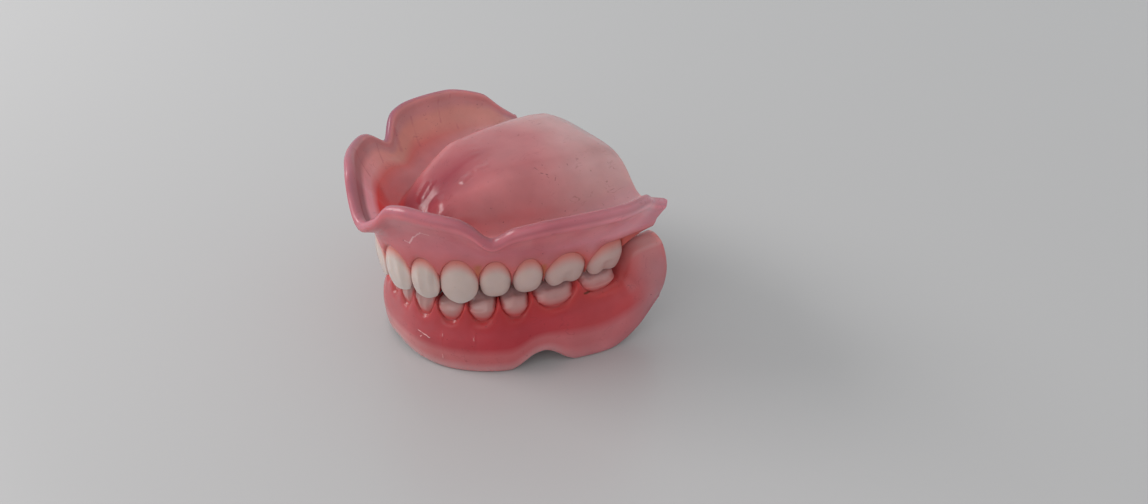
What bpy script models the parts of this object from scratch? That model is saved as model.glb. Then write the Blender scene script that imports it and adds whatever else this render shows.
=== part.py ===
"""Complete denture set: an upper denture resting in occlusion on a lower denture.

Each denture is one moulded acrylic base with fourteen separate teeth seated in sockets.
Everything is laid out along two arch lines, the curves that the outer faces of the teeth
follow. A place along an arch is counted in teeth from the midline: 0 is the midline, 1 the
far side of the central incisor, 7 the far side of the second molar and 8 the end of the base.
Depths are measured inwards from the arch line, at right angles to it, and heights from the
bite plane where the two sets of teeth meet. The front of the mouth faces -Y, and the
patient's left is +X. Lengths are in millimetres until a mesh is made.
"""
from collections import namedtuple

import bmesh
import bpy
import numpy as np
from mathutils import Matrix, Vector

MM = 0.001

# Height of the bite plane over the surface that the set stands on
BITE_HEIGHT = 17.5

# Arch lines: half width, length from front to the widest place, and squareness of the
# curve. The lower line lies inside the upper one by an overjet at the front and the sides
UPPER_HALF_WIDTH = 26.15
UPPER_LENGTH = 44.2
UPPER_SQUARENESS = 2.0
FRONT_OVERJET = 2.9
SIDE_OVERJET = 0.55
LOWER_HALF_WIDTH = UPPER_HALF_WIDTH - SIDE_OVERJET
LOWER_LENGTH = UPPER_LENGTH - FRONT_OVERJET
LOWER_SQUARENESS = 2.3
ARCH_TAIL = 30.0

# Teeth: width along the arch, depth, height of the neck from the bite plane, and for front
# teeth the reach of the edge past the bite plane and how far it leans in behind the arch line
Tooth = namedtuple("Tooth", "name form width depth neck reach lean", defaults=(0.0, 0.0))
UPPER_TEETH = (
    Tooth("central_incisor", "incisor", 8.1, 6.6, 9.4, 0.8, 0.8),
    Tooth("lateral_incisor", "incisor", 6.5, 5.8, 8.9, 0.8, 0.8),
    Tooth("canine", "canine", 8.1, 7.2, 9.2, 1.5, 1.0),
    Tooth("first_premolar", "premolar", 7.0, 8.3, 8.7),
    Tooth("second_premolar", "premolar", 6.9, 8.3, 8.5),
    Tooth("first_molar", "molar", 9.8, 9.4, 8.2),
    Tooth("second_molar", "molar", 9.5, 9.2, 8.0),
)
LOWER_TEETH = (
    Tooth("central_incisor", "incisor", 5.35, 5.6, 5.6, 1.0, 0.7),
    Tooth("lateral_incisor", "incisor", 5.95, 5.8, 5.5, 1.0, 1.4),
    Tooth("canine", "canine", 6.8, 6.8, 5.3, 0.1, 3.0),
    Tooth("first_premolar", "premolar", 6.95, 8.0, 4.9),
    Tooth("second_premolar", "premolar", 7.1, 8.4, 4.4),
    Tooth("first_molar", "molar", 10.7, 9.6, 3.8),
    Tooth("second_molar", "molar", 10.4, 9.4, 3.1),
)
TEETH_A_SIDE = len(UPPER_TEETH)
ROOT_DEPTH = 2.0
SEAT_GAP = 0.12
CONTACT_GAP = 0.12
SOCKET_WALL = 0.15
BITE_GAP = 0.4

# Tooth forms
EDGE_THICKNESS = 1.3
NECK_SET_BACK = 0.5
CORNER_RISE = 0.35
CANINE_POINT = 1.5
CUSP_INSET = 1.9
CUSP_SPACING = 4.8
CUSP_HEIGHT = 1.0
EMBRASURE_RISE = 1.5
GROOVE_RISE = 0.8
CUSP_CLEARANCE = 1.3
BITE_CURVE = 0.2

# Gum margins: how far a papilla stands up between two teeth, and how far the gum stands out
UPPER_PAPILLA = 2.6
LOWER_PAPILLA = 2.9
COLLAR = 0.3
ROOT_BULGE = 0.45
PALATE_MARGIN_DROP = 1.2

# Base walls
PALATE_THICKNESS = 2.2
LOWER_WALL = 2.2
INNER_WALL_BEND = 0.7
UPPER_BORDER_RADIUS = 1.25
LOWER_BORDER_RADIUS = 1.2
FLANGE_HOLLOW = 1.2
LABIAL_HOLLOW = 0.6
LABIAL_END = 4.5
LINGUAL_HOLLOW = 0.6
TUBEROSITY_LENGTH = 6.8
TUBEROSITY_LIFT = 0.12
PAD_LENGTH = 8.6
PAD_HALF_WIDTH = 3.2
PAD_DROP = 1.6
END_ROUND = 0.7

# Lines along the upper base. Columns: place in teeth, height over the bite plane, and how
# far the line stands out from the arch line
UPPER_BORDER = (
    (0.0, 15.5, 3.2),
    (0.54, 18.4, 3.1),
    (0.95, 22.2, 3.2),
    (1.6, 23.2, 4.0),
    (2.76, 22.8, 5.8),
    (4.0, 21.6, 7.4),
    (4.6, 22.6, 8.5),
    (5.25, 23.1, 9.0),
    (6.14, 22.8, 8.7),
    (6.88, 21.5, 5.9),
    (7.5, 17.2, 2.6),
    (8.0, 16.6, 2.2),
)
UPPER_RIDGE = (
    (0.0, 12.3, -5.2),
    (6.0, 12.0, -5.2),
    (7.2, 13.0, -5.0),
    (8.0, 14.2, -4.5),
)

# Palate vault along the midline: distance behind the ridge hollow and rise over it
VAULT = (
    (0.0, 0.0),
    (9.8, 6.4),
    (18.9, 10.8),
    (30.2, 11.3),
    (38.0, 10.5),
    (42.5, 9.2),
    (46.1, 6.9),
)
VAULT_FULLNESS = 2.8
SPINE_START = 15.0

# What differs between the two sides of the upper border: the notch for the cheek frenum, by
# its place in teeth, depth, half width in teeth and step inwards, and how much lower the
# tuberosity end sits. The drop starts at a place of its own
Side = namedtuple("Side", "notch_place notch_depth notch_width notch_in end_drop")
DROP_START = 6.6
LEFT_SIDE = Side(3.35, 4.0, 0.42, 1.2, 0.0)
RIGHT_SIDE = Side(3.68, 3.2, 0.5, 1.9, 1.6)

# Lines along the lower base. Columns: place in teeth, height over the floor, and how far the
# line stands out from the arch line
LOWER_BORDER = (
    (0.0, 1.4, 0.2),
    (1.5, 0.4, 0.2),
    (2.6, 0.0, 0.4),
    (4.2, 0.0, 0.8),
    (5.2, 3.6, 0.5),
    (5.85, 0.0, 1.6),
    (6.6, 0.0, 2.5),
    (7.3, 2.6, 2.5),
    (8.0, 8.5, 2.4),
)
LOWER_FLANGE = (
    (0.0, 7.0, 1.5),
    (4.2, 7.0, 1.9),
    (5.2, 9.0, 1.1),
    (6.4, 8.0, 1.6),
    (7.2, 11.0, 3.2),
    (8.0, 16.5, 5.2),
)
LOWER_PAD = (
    (7.0, 16.4, -4.6),
    (7.5, 22.0, -2.4),
    (8.0, 24.4, 0.2),
)
LOWER_RIDGE = (
    (0.0, 8.2, -4.0),
    (6.0, 9.2, -4.4),
    (7.0, 11.5, -4.0),
    (7.5, 17.3, -2.6),
    (8.0, 22.0, -0.6),
)
LINGUAL_BORDER = (
    (0.0, 1.6, -8.0),
    (3.0, 1.3, -8.8),
    (6.0, 2.0, -10.2),
    (7.2, 3.2, -9.6),
    (8.0, 7.0, -7.4),
)

# Mesh density and the angle from which an edge is drawn sharp
SHARP_ANGLE = 0.9
COLUMNS_A_TOOTH = 4
END_COLUMNS = 4
TOOTH_SIDES_FRONT = 10
TOOTH_SIDES_BACK = 12
EXPONENT = 2.6
WIDEST_SHARE = 0.3

# Looks: base and tooth colours with their roughness
UPPER_BASE_COLOUR = (0.41, 0.16, 0.17, 1.0)
LOWER_BASE_COLOUR = (0.36, 0.06, 0.07, 1.0)
ACRYLIC_ROUGHNESS = 0.25
TOOTH_COLOURS = {
    "incisor": (0.47, 0.42, 0.37, 1.0),
    "canine": (0.45, 0.39, 0.33, 1.0),
    "premolar": (0.45, 0.39, 0.34, 1.0),
    "molar": (0.42, 0.36, 0.31, 1.0),
}
TOOTH_ROUGHNESS = 0.3


def follow(stations, place, column):
    """Smooth line through the stations: cubic pieces whose slope is level at each high or
    low station and the harmonic mean of the two neighbouring slopes elsewhere."""
    table = np.array(stations, float)
    x = table[:, 0]
    y = table[:, column]
    place = np.clip(place, x[0], x[-1])
    step = np.diff(x)
    slope = np.diff(y) / step
    turn = np.zeros(len(x))
    same = slope[:-1] * slope[1:] > 0
    pair = slope[:-1][same], slope[1:][same]
    turn[1:-1][same] = 2 * pair[0] * pair[1] / (pair[0] + pair[1])
    turn[0], turn[-1] = slope[0] * (x[0] > 0), slope[-1]
    i = np.clip(np.searchsorted(x, place, side="right") - 1, 0, len(step) - 1)
    t = (place - x[i]) / step[i]
    return ((2 * t**3 - 3 * t**2 + 1) * y[i] + (t**3 - 2 * t**2 + t) * step[i] * turn[i]
            + (3 * t**2 - 2 * t**3) * y[i + 1] + (t**3 - t**2) * step[i] * turn[i + 1])


class Arch:
    """Line that the outer faces of one set of teeth follow, with its teeth and its end."""

    def __init__(self, half_width, length, squareness, teeth, end, side):
        angle = np.linspace(0.0, np.pi / 2, 3001)
        x = half_width * np.sin(angle) ** (2 / squareness)
        y = -length * np.cos(angle) ** (2 / squareness)
        x = np.append(x, half_width)
        y = np.append(y, ARCH_TAIL)
        run = np.concatenate([[0.0], np.cumsum(np.hypot(np.diff(x), np.diff(y)))])
        self.run = np.linspace(0.0, run[-1], 1501)
        self.x = np.interp(self.run, run, x)
        self.y = np.interp(self.run, run, y)
        self.heading = np.unwrap(np.arctan2(np.gradient(self.y), np.gradient(self.x)))
        self.heading[0] = 0.0
        self.teeth = teeth
        self.side = side
        self.marks = np.concatenate([[0.0], np.cumsum([t.width for t in teeth])])
        self.marks = np.append(self.marks, self.marks[-1] + end)

    def along(self, place):
        """Length along the line at a place counted in teeth."""
        return np.interp(place, np.arange(len(self.marks)), self.marks)

    def point(self, run, depth):
        """Plan position at a length along the line and a depth inwards from it."""
        run, depth = np.broadcast_arrays(run, depth)
        heading = np.interp(run, self.run, self.heading)
        x = np.interp(run, self.run, self.x) - depth * np.sin(heading)
        y = np.interp(run, self.run, self.y) + depth * np.cos(heading)
        return x, y

    def measure(self, x, y):
        """Length along this line and depth inwards from it of plan positions."""
        gap = np.hypot(x[..., None] - self.x, y[..., None] - self.y)
        nearest = gap.argmin(axis=-1)
        heading = self.heading[nearest]
        dx = x - self.x[nearest]
        dy = y - self.y[nearest]
        return self.run[nearest], -dx * np.sin(heading) + dy * np.cos(heading)

    def height(self, above):
        """World height of a height measured from the bite plane towards the gum."""
        return BITE_HEIGHT + self.side * above


UPPER = Arch(UPPER_HALF_WIDTH, UPPER_LENGTH, UPPER_SQUARENESS, UPPER_TEETH,
             TUBEROSITY_LENGTH, 1)
LOWER = Arch(LOWER_HALF_WIDTH, LOWER_LENGTH, LOWER_SQUARENESS, LOWER_TEETH, PAD_LENGTH, -1)


def bite_surface(run, depth):
    """Height, over the bite plane, of the surface that upper and lower teeth share: a wave
    across the arch with a cusp's spacing, which rises between the cusps along the arch."""
    wave = -0.5 * CUSP_HEIGHT * np.cos(2 * np.pi * (depth - CUSP_INSET) / CUSP_SPACING)
    place = np.interp(run, UPPER.marks, np.arange(len(UPPER.marks)))
    number = np.clip(place.astype(int), 0, TEETH_A_SIDE - 1)
    off = np.clip(np.abs(2 * (place - number) - 1), 0, 1)
    premolar = EMBRASURE_RISE * off**2.5
    cusp = np.abs(off - 0.5) / 0.5
    molar = np.where(off > 0.5, EMBRASURE_RISE * cusp**2, GROOVE_RISE * cusp**2)
    rise = np.where(number >= 5, molar, premolar)
    canine = UPPER_TEETH[2]
    behind = np.maximum(depth - canine.lean - EDGE_THICKNESS, 0)
    under_canine = CANINE_POINT * off**1.5 - canine.reach + 2 * behind
    surface = wave + rise + BITE_CURVE * (place - TEETH_A_SIDE / 2)
    return np.where(place < 3, np.minimum(under_canine, surface), surface)


def section(sides, half_width, outer, inner):
    """Rounded cross-section of a tooth: a superellipse between its outer and inner face."""
    angle = 2 * np.pi * (np.arange(sides) + 0.5) / sides
    across = np.sign(np.cos(angle)) * np.abs(np.cos(angle)) ** (2 / EXPONENT)
    deep = np.sign(np.sin(angle)) * np.abs(np.sin(angle)) ** (2 / EXPONENT)
    across /= across.max()
    deep /= deep.max()
    widest = outer + (inner - outer) * WIDEST_SHARE
    depth = widest + np.where(deep < 0, widest - outer, inner - widest) * deep
    return half_width * across, depth, across


def widest_half(arch, tooth):
    """Half of a tooth's widest width. The lower gum stands up past the places where its
    teeth are widest, so there the sockets leave a wall between them."""
    gap = CONTACT_GAP if arch.side > 0 else SOCKET_WALL + 2 * SEAT_GAP
    return (tooth.width - gap) / 2


def front_rings(arch, tooth, grow):
    """Rings of an incisor or canine, from the buried end to the edge."""
    pointed = tooth.form == "canine"
    rings = []
    full = widest_half(arch, tooth)
    shares = (-1.0, 0.0, 0.3, 0.65, 0.93, 1.0)
    for share in shares:
        up = max(share, 0.0)
        width = full * (0.74 + 0.26 * np.sin(np.pi / 2 * min(up / 0.6, 1.0)))
        if up > 0.6:
            width -= full * (0.42 if pointed else 0.14) * ((up - 0.6) / 0.4) ** 2
        out = NECK_SET_BACK * (1 - min(up / 0.4, 1.0)) ** 2
        out += tooth.lean * (max(up - 0.4, 0.0) / 0.6) ** 1.6
        edge = tooth.lean + EDGE_THICKNESS
        inner = edge + (tooth.depth - edge) * (1 - up) ** 1.25
        high = tooth.neck - (tooth.neck + tooth.reach) * up
        if share == 1.0:
            width *= 0.8
            out += 0.35
            inner -= 0.3
        if share < 0:
            high = tooth.neck + ROOT_DEPTH + grow
        across, deep, part = section(TOOTH_SIDES_FRONT, width + grow, out - grow, inner + grow)
        rise = (CANINE_POINT if pointed else CORNER_RISE) * np.abs(part) ** 1.5
        high = high + rise * up**3
        rings.append((across, deep, high + 0 * across))
    return rings


def back_rings(arch, tooth, middle, grow):
    """Rings of a premolar or molar, from the buried end to the middle of the biting face."""
    rings = []
    full = widest_half(arch, tooth)
    for share in (-1.0, 0.0, 0.42):
        up = max(share, 0.0)
        width = full * (0.8 + 0.2 * np.sin(np.pi / 2 * min(up / 0.5, 1.0)))
        set_back = NECK_SET_BACK * (1 - min(up / 0.35, 1.0)) ** 2
        high = tooth.neck + ROOT_DEPTH + grow if share < 0 else tooth.neck * (1 - up)
        across, deep, part = section(TOOTH_SIDES_BACK, width + grow, set_back - grow,
                                     tooth.depth - set_back + grow)
        rings.append((across, deep, high + 0 * across))
    for width_share, inset, lift in ((0.93, 0.8, 0.9), (0.74, CUSP_INSET, 0.0), (0.34, 3.3, 0.0)):
        across, deep, part = section(TOOTH_SIDES_BACK, full * width_share, inset,
                                     tooth.depth - inset)
        rings.append((across, deep, biting_height(arch, middle + across, deep) + lift))
    return rings


def biting_height(arch, run, depth):
    """Height towards the gum of a tooth's biting face at a place on its own arch."""
    x, y = arch.point(run, depth)
    run, depth = UPPER.measure(x, y)
    surface = bite_surface(run, depth)
    if arch.side < 0:
        for shift in (-CUSP_CLEARANCE, CUSP_CLEARANCE):
            surface = np.minimum(surface, bite_surface(run + shift, depth))
    return arch.side * surface + BITE_GAP / 2


def tooth_points(arch, number, grow):
    """All rings of one tooth in world millimetres, on the left side."""
    tooth = arch.teeth[number]
    middle = arch.marks[number] + tooth.width / 2
    if tooth.form in ("incisor", "canine"):
        rings = front_rings(arch, tooth, grow)
    else:
        rings = back_rings(arch, tooth, middle, grow)
    points = []
    for across, deep, high in rings:
        x, y = arch.point(middle + across, deep)
        points.append(np.stack([x, y, arch.height(high)], axis=-1))
    return np.array(points)


def make_object(name, points, faces, colour):
    """Mesh object from points in millimetres, closed, with its faces pointing out."""
    mesh = bpy.data.meshes.new(name)
    mesh.from_pydata((np.asarray(points) * MM).tolist(), [], faces)
    body = bmesh.new()
    body.from_mesh(mesh)
    bmesh.ops.remove_doubles(body, verts=body.verts, dist=0.00001)
    bmesh.ops.recalc_face_normals(body, faces=body.faces)
    body.to_mesh(mesh)
    body.free()
    item = bpy.data.objects.new(name, mesh)
    bpy.context.scene.collection.objects.link(item)
    mesh.materials.append(colour)
    mesh.shade_smooth()
    mesh.set_sharp_from_angle(angle=SHARP_ANGLE)
    return item


def tooth_faces(rings, sides):
    """Triangles between neighbouring rings, split the same way on a tooth and its socket,
    a flat buried end, and a fan from the last ring to one more point at its middle."""
    faces = [tuple(range(sides))]
    for ring in range(rings - 1):
        for side in range(sides):
            low = ring * sides + side
            after = ring * sides + (side + 1) % sides
            faces.append((low, after, after + sides))
            faces.append((low, after + sides, low + sides))
    last = (rings - 1) * sides
    faces += [(last + side, last + (side + 1) % sides, rings * sides) for side in range(sides)]
    return faces


def make_tooth(arch, number, mirror, grow, name, colour):
    """One tooth, or with a grow the cutter that makes its socket."""
    points = tooth_points(arch, number, grow)
    rings, sides = points.shape[:2]
    points = np.vstack([points.reshape(-1, 3), points[-1].mean(axis=0)])
    points[:, 0] *= mirror
    return make_object(name, points, tooth_faces(rings, sides), colour)


def gum_margin(arch, place, papilla):
    """Height of the outer gum margin: at the neck in the middle of each tooth, and nearer
    the bite plane by the papilla between two teeth."""
    necks = np.array([tooth.neck for tooth in arch.teeth])
    tips = np.empty(TEETH_A_SIDE + 1)
    tips[0] = necks[0] - papilla
    tips[1:-1] = (necks[:-1] + necks[1:]) / 2 - papilla
    tips[-1] = necks[-1]
    number = np.clip(place.astype(int), 0, TEETH_A_SIDE - 1)
    off = np.clip(2 * (place - number) - 1, -1, 1)
    tip = np.where(off < 0, tips[number], tips[number + 1])
    return necks[number] + (tip - necks[number]) * np.abs(off) ** 2.2, off


def tooth_depth(arch, place):
    """Depth of the teeth at a place, smooth from tooth to tooth."""
    depths = [tooth.depth for tooth in arch.teeth]
    return np.interp(place, np.arange(TEETH_A_SIDE) + 0.5, depths)


def between(first, last, share):
    return first + (last - first) * share


def upper_rows(place, half):
    """Cross-sections of the upper base at places along the arch: from the palate's spine on
    the tissue side, over the ridge hollow and the border, and back on the polished side."""
    arch = UPPER
    run = arch.along(place)
    dip = np.exp(-((place - half.notch_place) / half.notch_width) ** 2)
    border = follow(UPPER_BORDER, place, 1) - half.notch_depth * dip
    stand = half.notch_in * dip - follow(UPPER_BORDER, place, 2)
    ridge = follow(UPPER_RIDGE, place, 1)
    ridge_in = -follow(UPPER_RIDGE, place, 2)
    radius = UPPER_BORDER_RADIUS
    margin, off = gum_margin(arch, place, UPPER_PAPILLA)
    depth = tooth_depth(arch, place)
    tail = np.clip(place - TEETH_A_SIDE, 0, 1)
    margin = margin + tail * (ridge - margin - PALATE_THICKNESS) * TUBEROSITY_LIFT
    inner_margin = margin - PALATE_MARGIN_DROP * (1 - tail)
    ridge_x, ridge_y = arch.point(run, ridge_in)
    start_y = -UPPER_LENGTH + SPINE_START
    end_y = arch.point(arch.marks[-1], 0.0)[1]
    spine_y = between(start_y, end_y, place / (TEETH_A_SIDE + 1))
    reach = np.hypot(ridge_x, spine_y - ridge_y)
    rows = []

    def vault(share):
        """Points a share of the way from the ridge hollow to the palate's spine."""
        x = ridge_x * (1 - share)
        y = between(ridge_y, spine_y, share)
        side_share = x / np.maximum(np.interp(y, ridge_y, ridge_x), x + 0.001)
        fall = (1 + np.cos(np.pi * side_share**VAULT_FULLNESS)) / 2
        rise = follow(VAULT, y - ridge_y[0], 1)
        return x, y, np.interp(y, ridge_y, ridge) + rise * fall

    def palate(share, drop):
        x, y, high = vault(share)
        rows.append((x, y, BITE_HEIGHT + high - drop))

    def side(depth_in, high):
        x, y = arch.point(run, depth_in)
        rows.append((x, y, BITE_HEIGHT + high))

    for share in (1.0, 0.62, 0.34, 0.15):
        palate(share + 0 * place, 0.0)
    wall_in = stand + radius
    wall_top = border - radius
    labial = LABIAL_HOLLOW * np.clip(1 - place / LABIAL_END, 0, 1)
    for angle in np.radians((90, 62, 37, 16)):
        side(between(ridge_in, wall_in, np.cos(angle) ** 1.4) + labial * np.sin(2 * angle),
             between(wall_top, ridge, np.sin(angle) ** 1.4))
    for angle in np.radians((0, 60, 120, 180)):
        side(stand + radius * np.cos(angle), border - radius + radius * np.sin(angle))
    collar_in = -COLLAR - ROOT_BULGE * (1 - off**2) * (1 - tail)
    collar = margin + 0.7
    behind = np.clip((place - DROP_START) / (TEETH_A_SIDE + 1 - DROP_START), 0, 1)
    hollow = FLANGE_HOLLOW * (1 - behind) + labial
    for share in (0.35, 0.7):
        side(between(stand - radius, collar_in, share) + hollow * np.sin(np.pi * share),
             between(wall_top, collar, share))
    side(collar_in, collar)
    side(depth / 2, between(margin, inner_margin, 0.5))
    inner_in = depth + 0.5
    first = (inner_in - ridge_in) / reach
    under = inner_margin + 0.3
    extra = vault(first)[2] - under - PALATE_THICKNESS
    for share in (0.0, 0.4, 1.0):
        palate(between(first, 1.0, share), PALATE_THICKNESS + extra * (1 - share) ** 3)
    points = np.moveaxis(np.array(rows), 2, 0)
    outwards = points[..., 0] / UPPER_HALF_WIDTH
    points[..., 2] -= half.end_drop * (behind**2)[:, None] * outwards**2
    return points


def lower_rows(place):
    """Cross-sections of the lower base at places along the arch: from the lower border up
    the outer face, over the crest, down to the lingual border and back inside the hollow."""
    arch = LOWER
    run = arch.along(place)
    lift = follow(LOWER_BORDER, place, 1)
    stand = -follow(LOWER_BORDER, place, 2)
    flange = follow(LOWER_FLANGE, place, 1)
    flange_in = -follow(LOWER_FLANGE, place, 2)
    roof = follow(LOWER_RIDGE, place, 1)
    roof_in = -follow(LOWER_RIDGE, place, 2)
    tongue = follow(LINGUAL_BORDER, place, 1)
    tongue_in = -follow(LINGUAL_BORDER, place, 2)
    radius = LOWER_BORDER_RADIUS
    margin, off = gum_margin(arch, place, LOWER_PAPILLA)
    margin = BITE_HEIGHT - margin
    depth = tooth_depth(arch, place)
    tail = np.clip(place - TEETH_A_SIDE, 0, 1)
    pad = follow(LOWER_PAD, place, 1)
    pad_in = -follow(LOWER_PAD, place, 2)
    blend = np.clip(tail * 4, 0, 1)
    crest = between(margin + 0.3, pad, blend)
    crest_in = between(depth / 2, pad_in, blend)
    collar = between(margin - 0.7, pad - PAD_DROP, blend)
    collar_in = between(-COLLAR - ROOT_BULGE * (1 - off**2), pad_in - PAD_HALF_WIDTH, blend)
    inner = between(margin - 0.5, pad - PAD_DROP, blend)
    inner_in = between(depth + 0.4, pad_in + PAD_HALF_WIDTH, blend)
    rows = []

    def side(depth_in, high):
        x, y = arch.point(run, depth_in)
        rows.append((x, y, high))

    side(stand, lift)
    side(stand - 0.5 * radius, lift)
    side(stand - radius, lift + radius)
    for share in (0.25, 0.6):
        curve = 4 * share * (1 - share)
        straight_in = between(stand - radius, collar_in, share)
        straight = between(lift + radius, collar, share)
        middle_in = between(stand - radius, collar_in, 0.5)
        middle = between(lift + radius, collar, 0.5)
        side(straight_in + (flange_in - middle_in) * curve,
             straight + (flange - middle) * curve)
    side(collar_in, collar)
    side(crest_in, crest)
    side(inner_in, inner)
    side(between(inner_in, tongue_in + radius, 0.5) - LINGUAL_HOLLOW,
         between(inner, tongue + radius, 0.5))
    side(tongue_in + radius, tongue + radius)
    side(tongue_in, tongue)
    side(tongue_in - radius, tongue + radius)
    for angle in np.radians((25, 55)):
        side(between(roof_in, tongue_in - radius, np.cos(angle) ** 1.4),
             between(tongue + radius, roof, np.sin(angle) ** 1.4))
    side(roof_in, roof)
    low_in = stand + radius
    low = lift + radius
    side(between(between(low_in, roof_in, 0.45), flange_in + LOWER_WALL, INNER_WALL_BEND),
         between(low, roof, 0.45))
    side(low_in, low)
    side(stand + 0.5 * radius, lift)
    return np.moveaxis(np.array(rows), 2, 0)


def end_column(columns, closed):
    """One more column behind the last, with the wall pinched, which rounds the end."""
    last = columns[-1]
    count = len(last)
    partner = last[(-np.arange(count)) % count] if closed else last[::-1]
    pinched = between(last, partner, 0.25)
    pinched[:, 1] += END_ROUND
    return np.concatenate([columns, pinched[None]])


def base_faces(left, right, closed):
    """Quads between neighbouring columns of point numbers, and the two end walls."""
    faces = []
    rows = left.shape[1]
    steps = rows if closed else rows - 1
    for half, flip in ((left, 1), (right, -1)):
        for column in range(len(half) - 1):
            for row in range(steps):
                after = (row + 1) % rows
                quad = (half[column, row], half[column + 1, row],
                        half[column + 1, after], half[column, after])
                faces.append(tuple(int(i) for i in quad[::flip]))
        end = half[-1]
        last = rows if closed else rows - 1
        for row in range(last // 2):
            ring = [end[row], end[row + 1], end[(last - row - 1) % rows], end[(last - row) % rows]]
            face = tuple(int(i) for i in dict.fromkeys(ring))
            if len(face) > 2:
                faces.append(face[::flip])
    return faces


def column_places():
    """Places of a base's cross-sections along one side."""
    beside = np.arange(COLUMNS_A_TOOTH * TEETH_A_SIDE) / COLUMNS_A_TOOTH
    return np.append(beside, TEETH_A_SIDE + np.linspace(0.0, 1.0, END_COLUMNS))


def make_base(name, halves, closed, colour):
    """One acrylic base: the left half's columns, and the right half's across the midline."""
    sides = []
    for half in halves:
        half[0, :, 0] = 0.0
        half = end_column(half, closed)
        if not closed:
            half[:, (0, -1), 0] = 0.0
        sides.append(half)
    columns, rows = sides[0].shape[:2]
    mirrored = sides[1][1:] * (-1, 1, 1)
    points = np.concatenate([sides[0].reshape(-1, 3), mirrored.reshape(-1, 3)])
    left = np.arange(columns * rows).reshape(columns, rows)
    right = np.arange((columns - 1) * rows).reshape(columns - 1, rows) + columns * rows
    right = np.concatenate([left[:1], right])
    return make_object(name, points, base_faces(left, right, closed), colour)


def cut_sockets(base, cutters):
    """Sockets for the teeth, cut by slightly larger copies of them."""
    cut = base.modifiers.new("Sockets", "BOOLEAN")
    cut.operation = "DIFFERENCE"
    cut.operand_type = "COLLECTION"
    cut.collection = cutters
    cut.solver = "EXACT"


def material(name, colour, roughness):
    made = bpy.data.materials.new(name)
    made.use_nodes = True
    shader = made.node_tree.nodes["Principled BSDF"]
    shader.inputs["Base Color"].default_value = colour
    shader.inputs["Roughness"].default_value = roughness
    shader.inputs["Metallic"].default_value = 0.0
    return made


def seat_tooth(item, arch, number, mirror):
    """Gives a tooth its origin on its neck's outer face, with its X axis along the arch."""
    tooth = arch.teeth[number]
    run = arch.marks[number] + tooth.width / 2
    x, y = arch.point(run, 0.0)
    turn = np.interp(run, arch.run, arch.heading)
    place = Vector((mirror * x, y, arch.height(tooth.neck))) * MM
    seat = Matrix.Translation(place) @ Matrix.Rotation(mirror * turn, 4, "Z")
    item.data.transform(seat.inverted())
    item.matrix_basis = seat


def build_denture(arch, arch_name, halves, closed, colour):
    """One denture under its own empty: its base with sockets, and its fourteen teeth."""
    denture = bpy.data.objects.new(arch_name + "_denture", None)
    bpy.context.scene.collection.objects.link(denture)
    base_name = arch_name + "_base"
    base = make_base(base_name, halves, closed, material(base_name, colour, ACRYLIC_ROUGHNESS))
    base.parent = denture
    cutters = bpy.data.collections.new(arch_name + "_sockets")
    bpy.context.scene.collection.children.link(cutters)
    for side_name, mirror in (("left", 1), ("right", -1)):
        for number, tooth in enumerate(arch.teeth):
            name = "_".join((arch_name, side_name, tooth.name))
            ivory = material(name, TOOTH_COLOURS[tooth.form], TOOTH_ROUGHNESS)
            crown = make_tooth(arch, number, mirror, 0.0, name, ivory)
            cutter = make_tooth(arch, number, mirror, SEAT_GAP, name + "_socket", ivory)
            for item in (crown, cutter):
                seat_tooth(item, arch, number, mirror)
                item.parent = denture
            cutter.hide_render = True
            cutter.display_type = "WIRE"
            bpy.context.scene.collection.objects.unlink(cutter)
            cutters.objects.link(cutter)
    cut_sockets(base, cutters)
    return denture


def main():
    for item in list(bpy.data.objects):
        bpy.data.objects.remove(item)
    place = column_places()
    upper = [upper_rows(place, side) for side in (LEFT_SIDE, RIGHT_SIDE)]
    lower = [lower_rows(place), lower_rows(place)]
    lengths = np.concatenate([half[..., 1].ravel() for half in upper + lower])
    middle = (lengths.min() + lengths.max() + END_ROUND) / 2
    dentures = (build_denture(UPPER, "upper", upper, False, UPPER_BASE_COLOUR),
                build_denture(LOWER, "lower", lower, True, LOWER_BASE_COLOUR))
    for denture in dentures:
        denture.location.y = -middle * MM


main()
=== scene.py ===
"""Looks of a full denture set: smooth pink acrylic bases, anatomical teeth, and the stage.

Everything is laid out along two arch lines, the curves that the outer faces of the teeth
follow. A place along an arch is counted in teeth from the midline: 0 is the midline, 1 the
far side of the central incisor, 7 the far side of the second molar and 8 the end of the base.
Depths are measured inwards from the arch line, at right angles to it, and heights from the
bite plane where the two sets of teeth meet. The front of the mouth faces -Y, and the
patient's left is +X. Lengths are in millimetres until a mesh is made.
"""

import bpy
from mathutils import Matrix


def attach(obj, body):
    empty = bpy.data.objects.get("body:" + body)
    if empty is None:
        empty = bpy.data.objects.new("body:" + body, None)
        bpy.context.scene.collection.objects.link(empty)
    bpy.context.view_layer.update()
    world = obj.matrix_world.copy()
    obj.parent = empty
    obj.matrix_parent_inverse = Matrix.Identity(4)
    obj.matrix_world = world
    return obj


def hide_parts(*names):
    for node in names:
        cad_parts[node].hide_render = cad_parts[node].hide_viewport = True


bl_info = {
    "name": "Full Denture Set",
    "version": (1, 0, 0),
    "blender": (4, 5, 0),
    "location": "3D View > Sidebar > Denture",
    "description": "Acrylic bases, teeth and stage for a full denture set",
    "category": "Object",
}

from collections import namedtuple

import bmesh
import bpy
import numpy as np
from mathutils import Matrix

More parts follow.
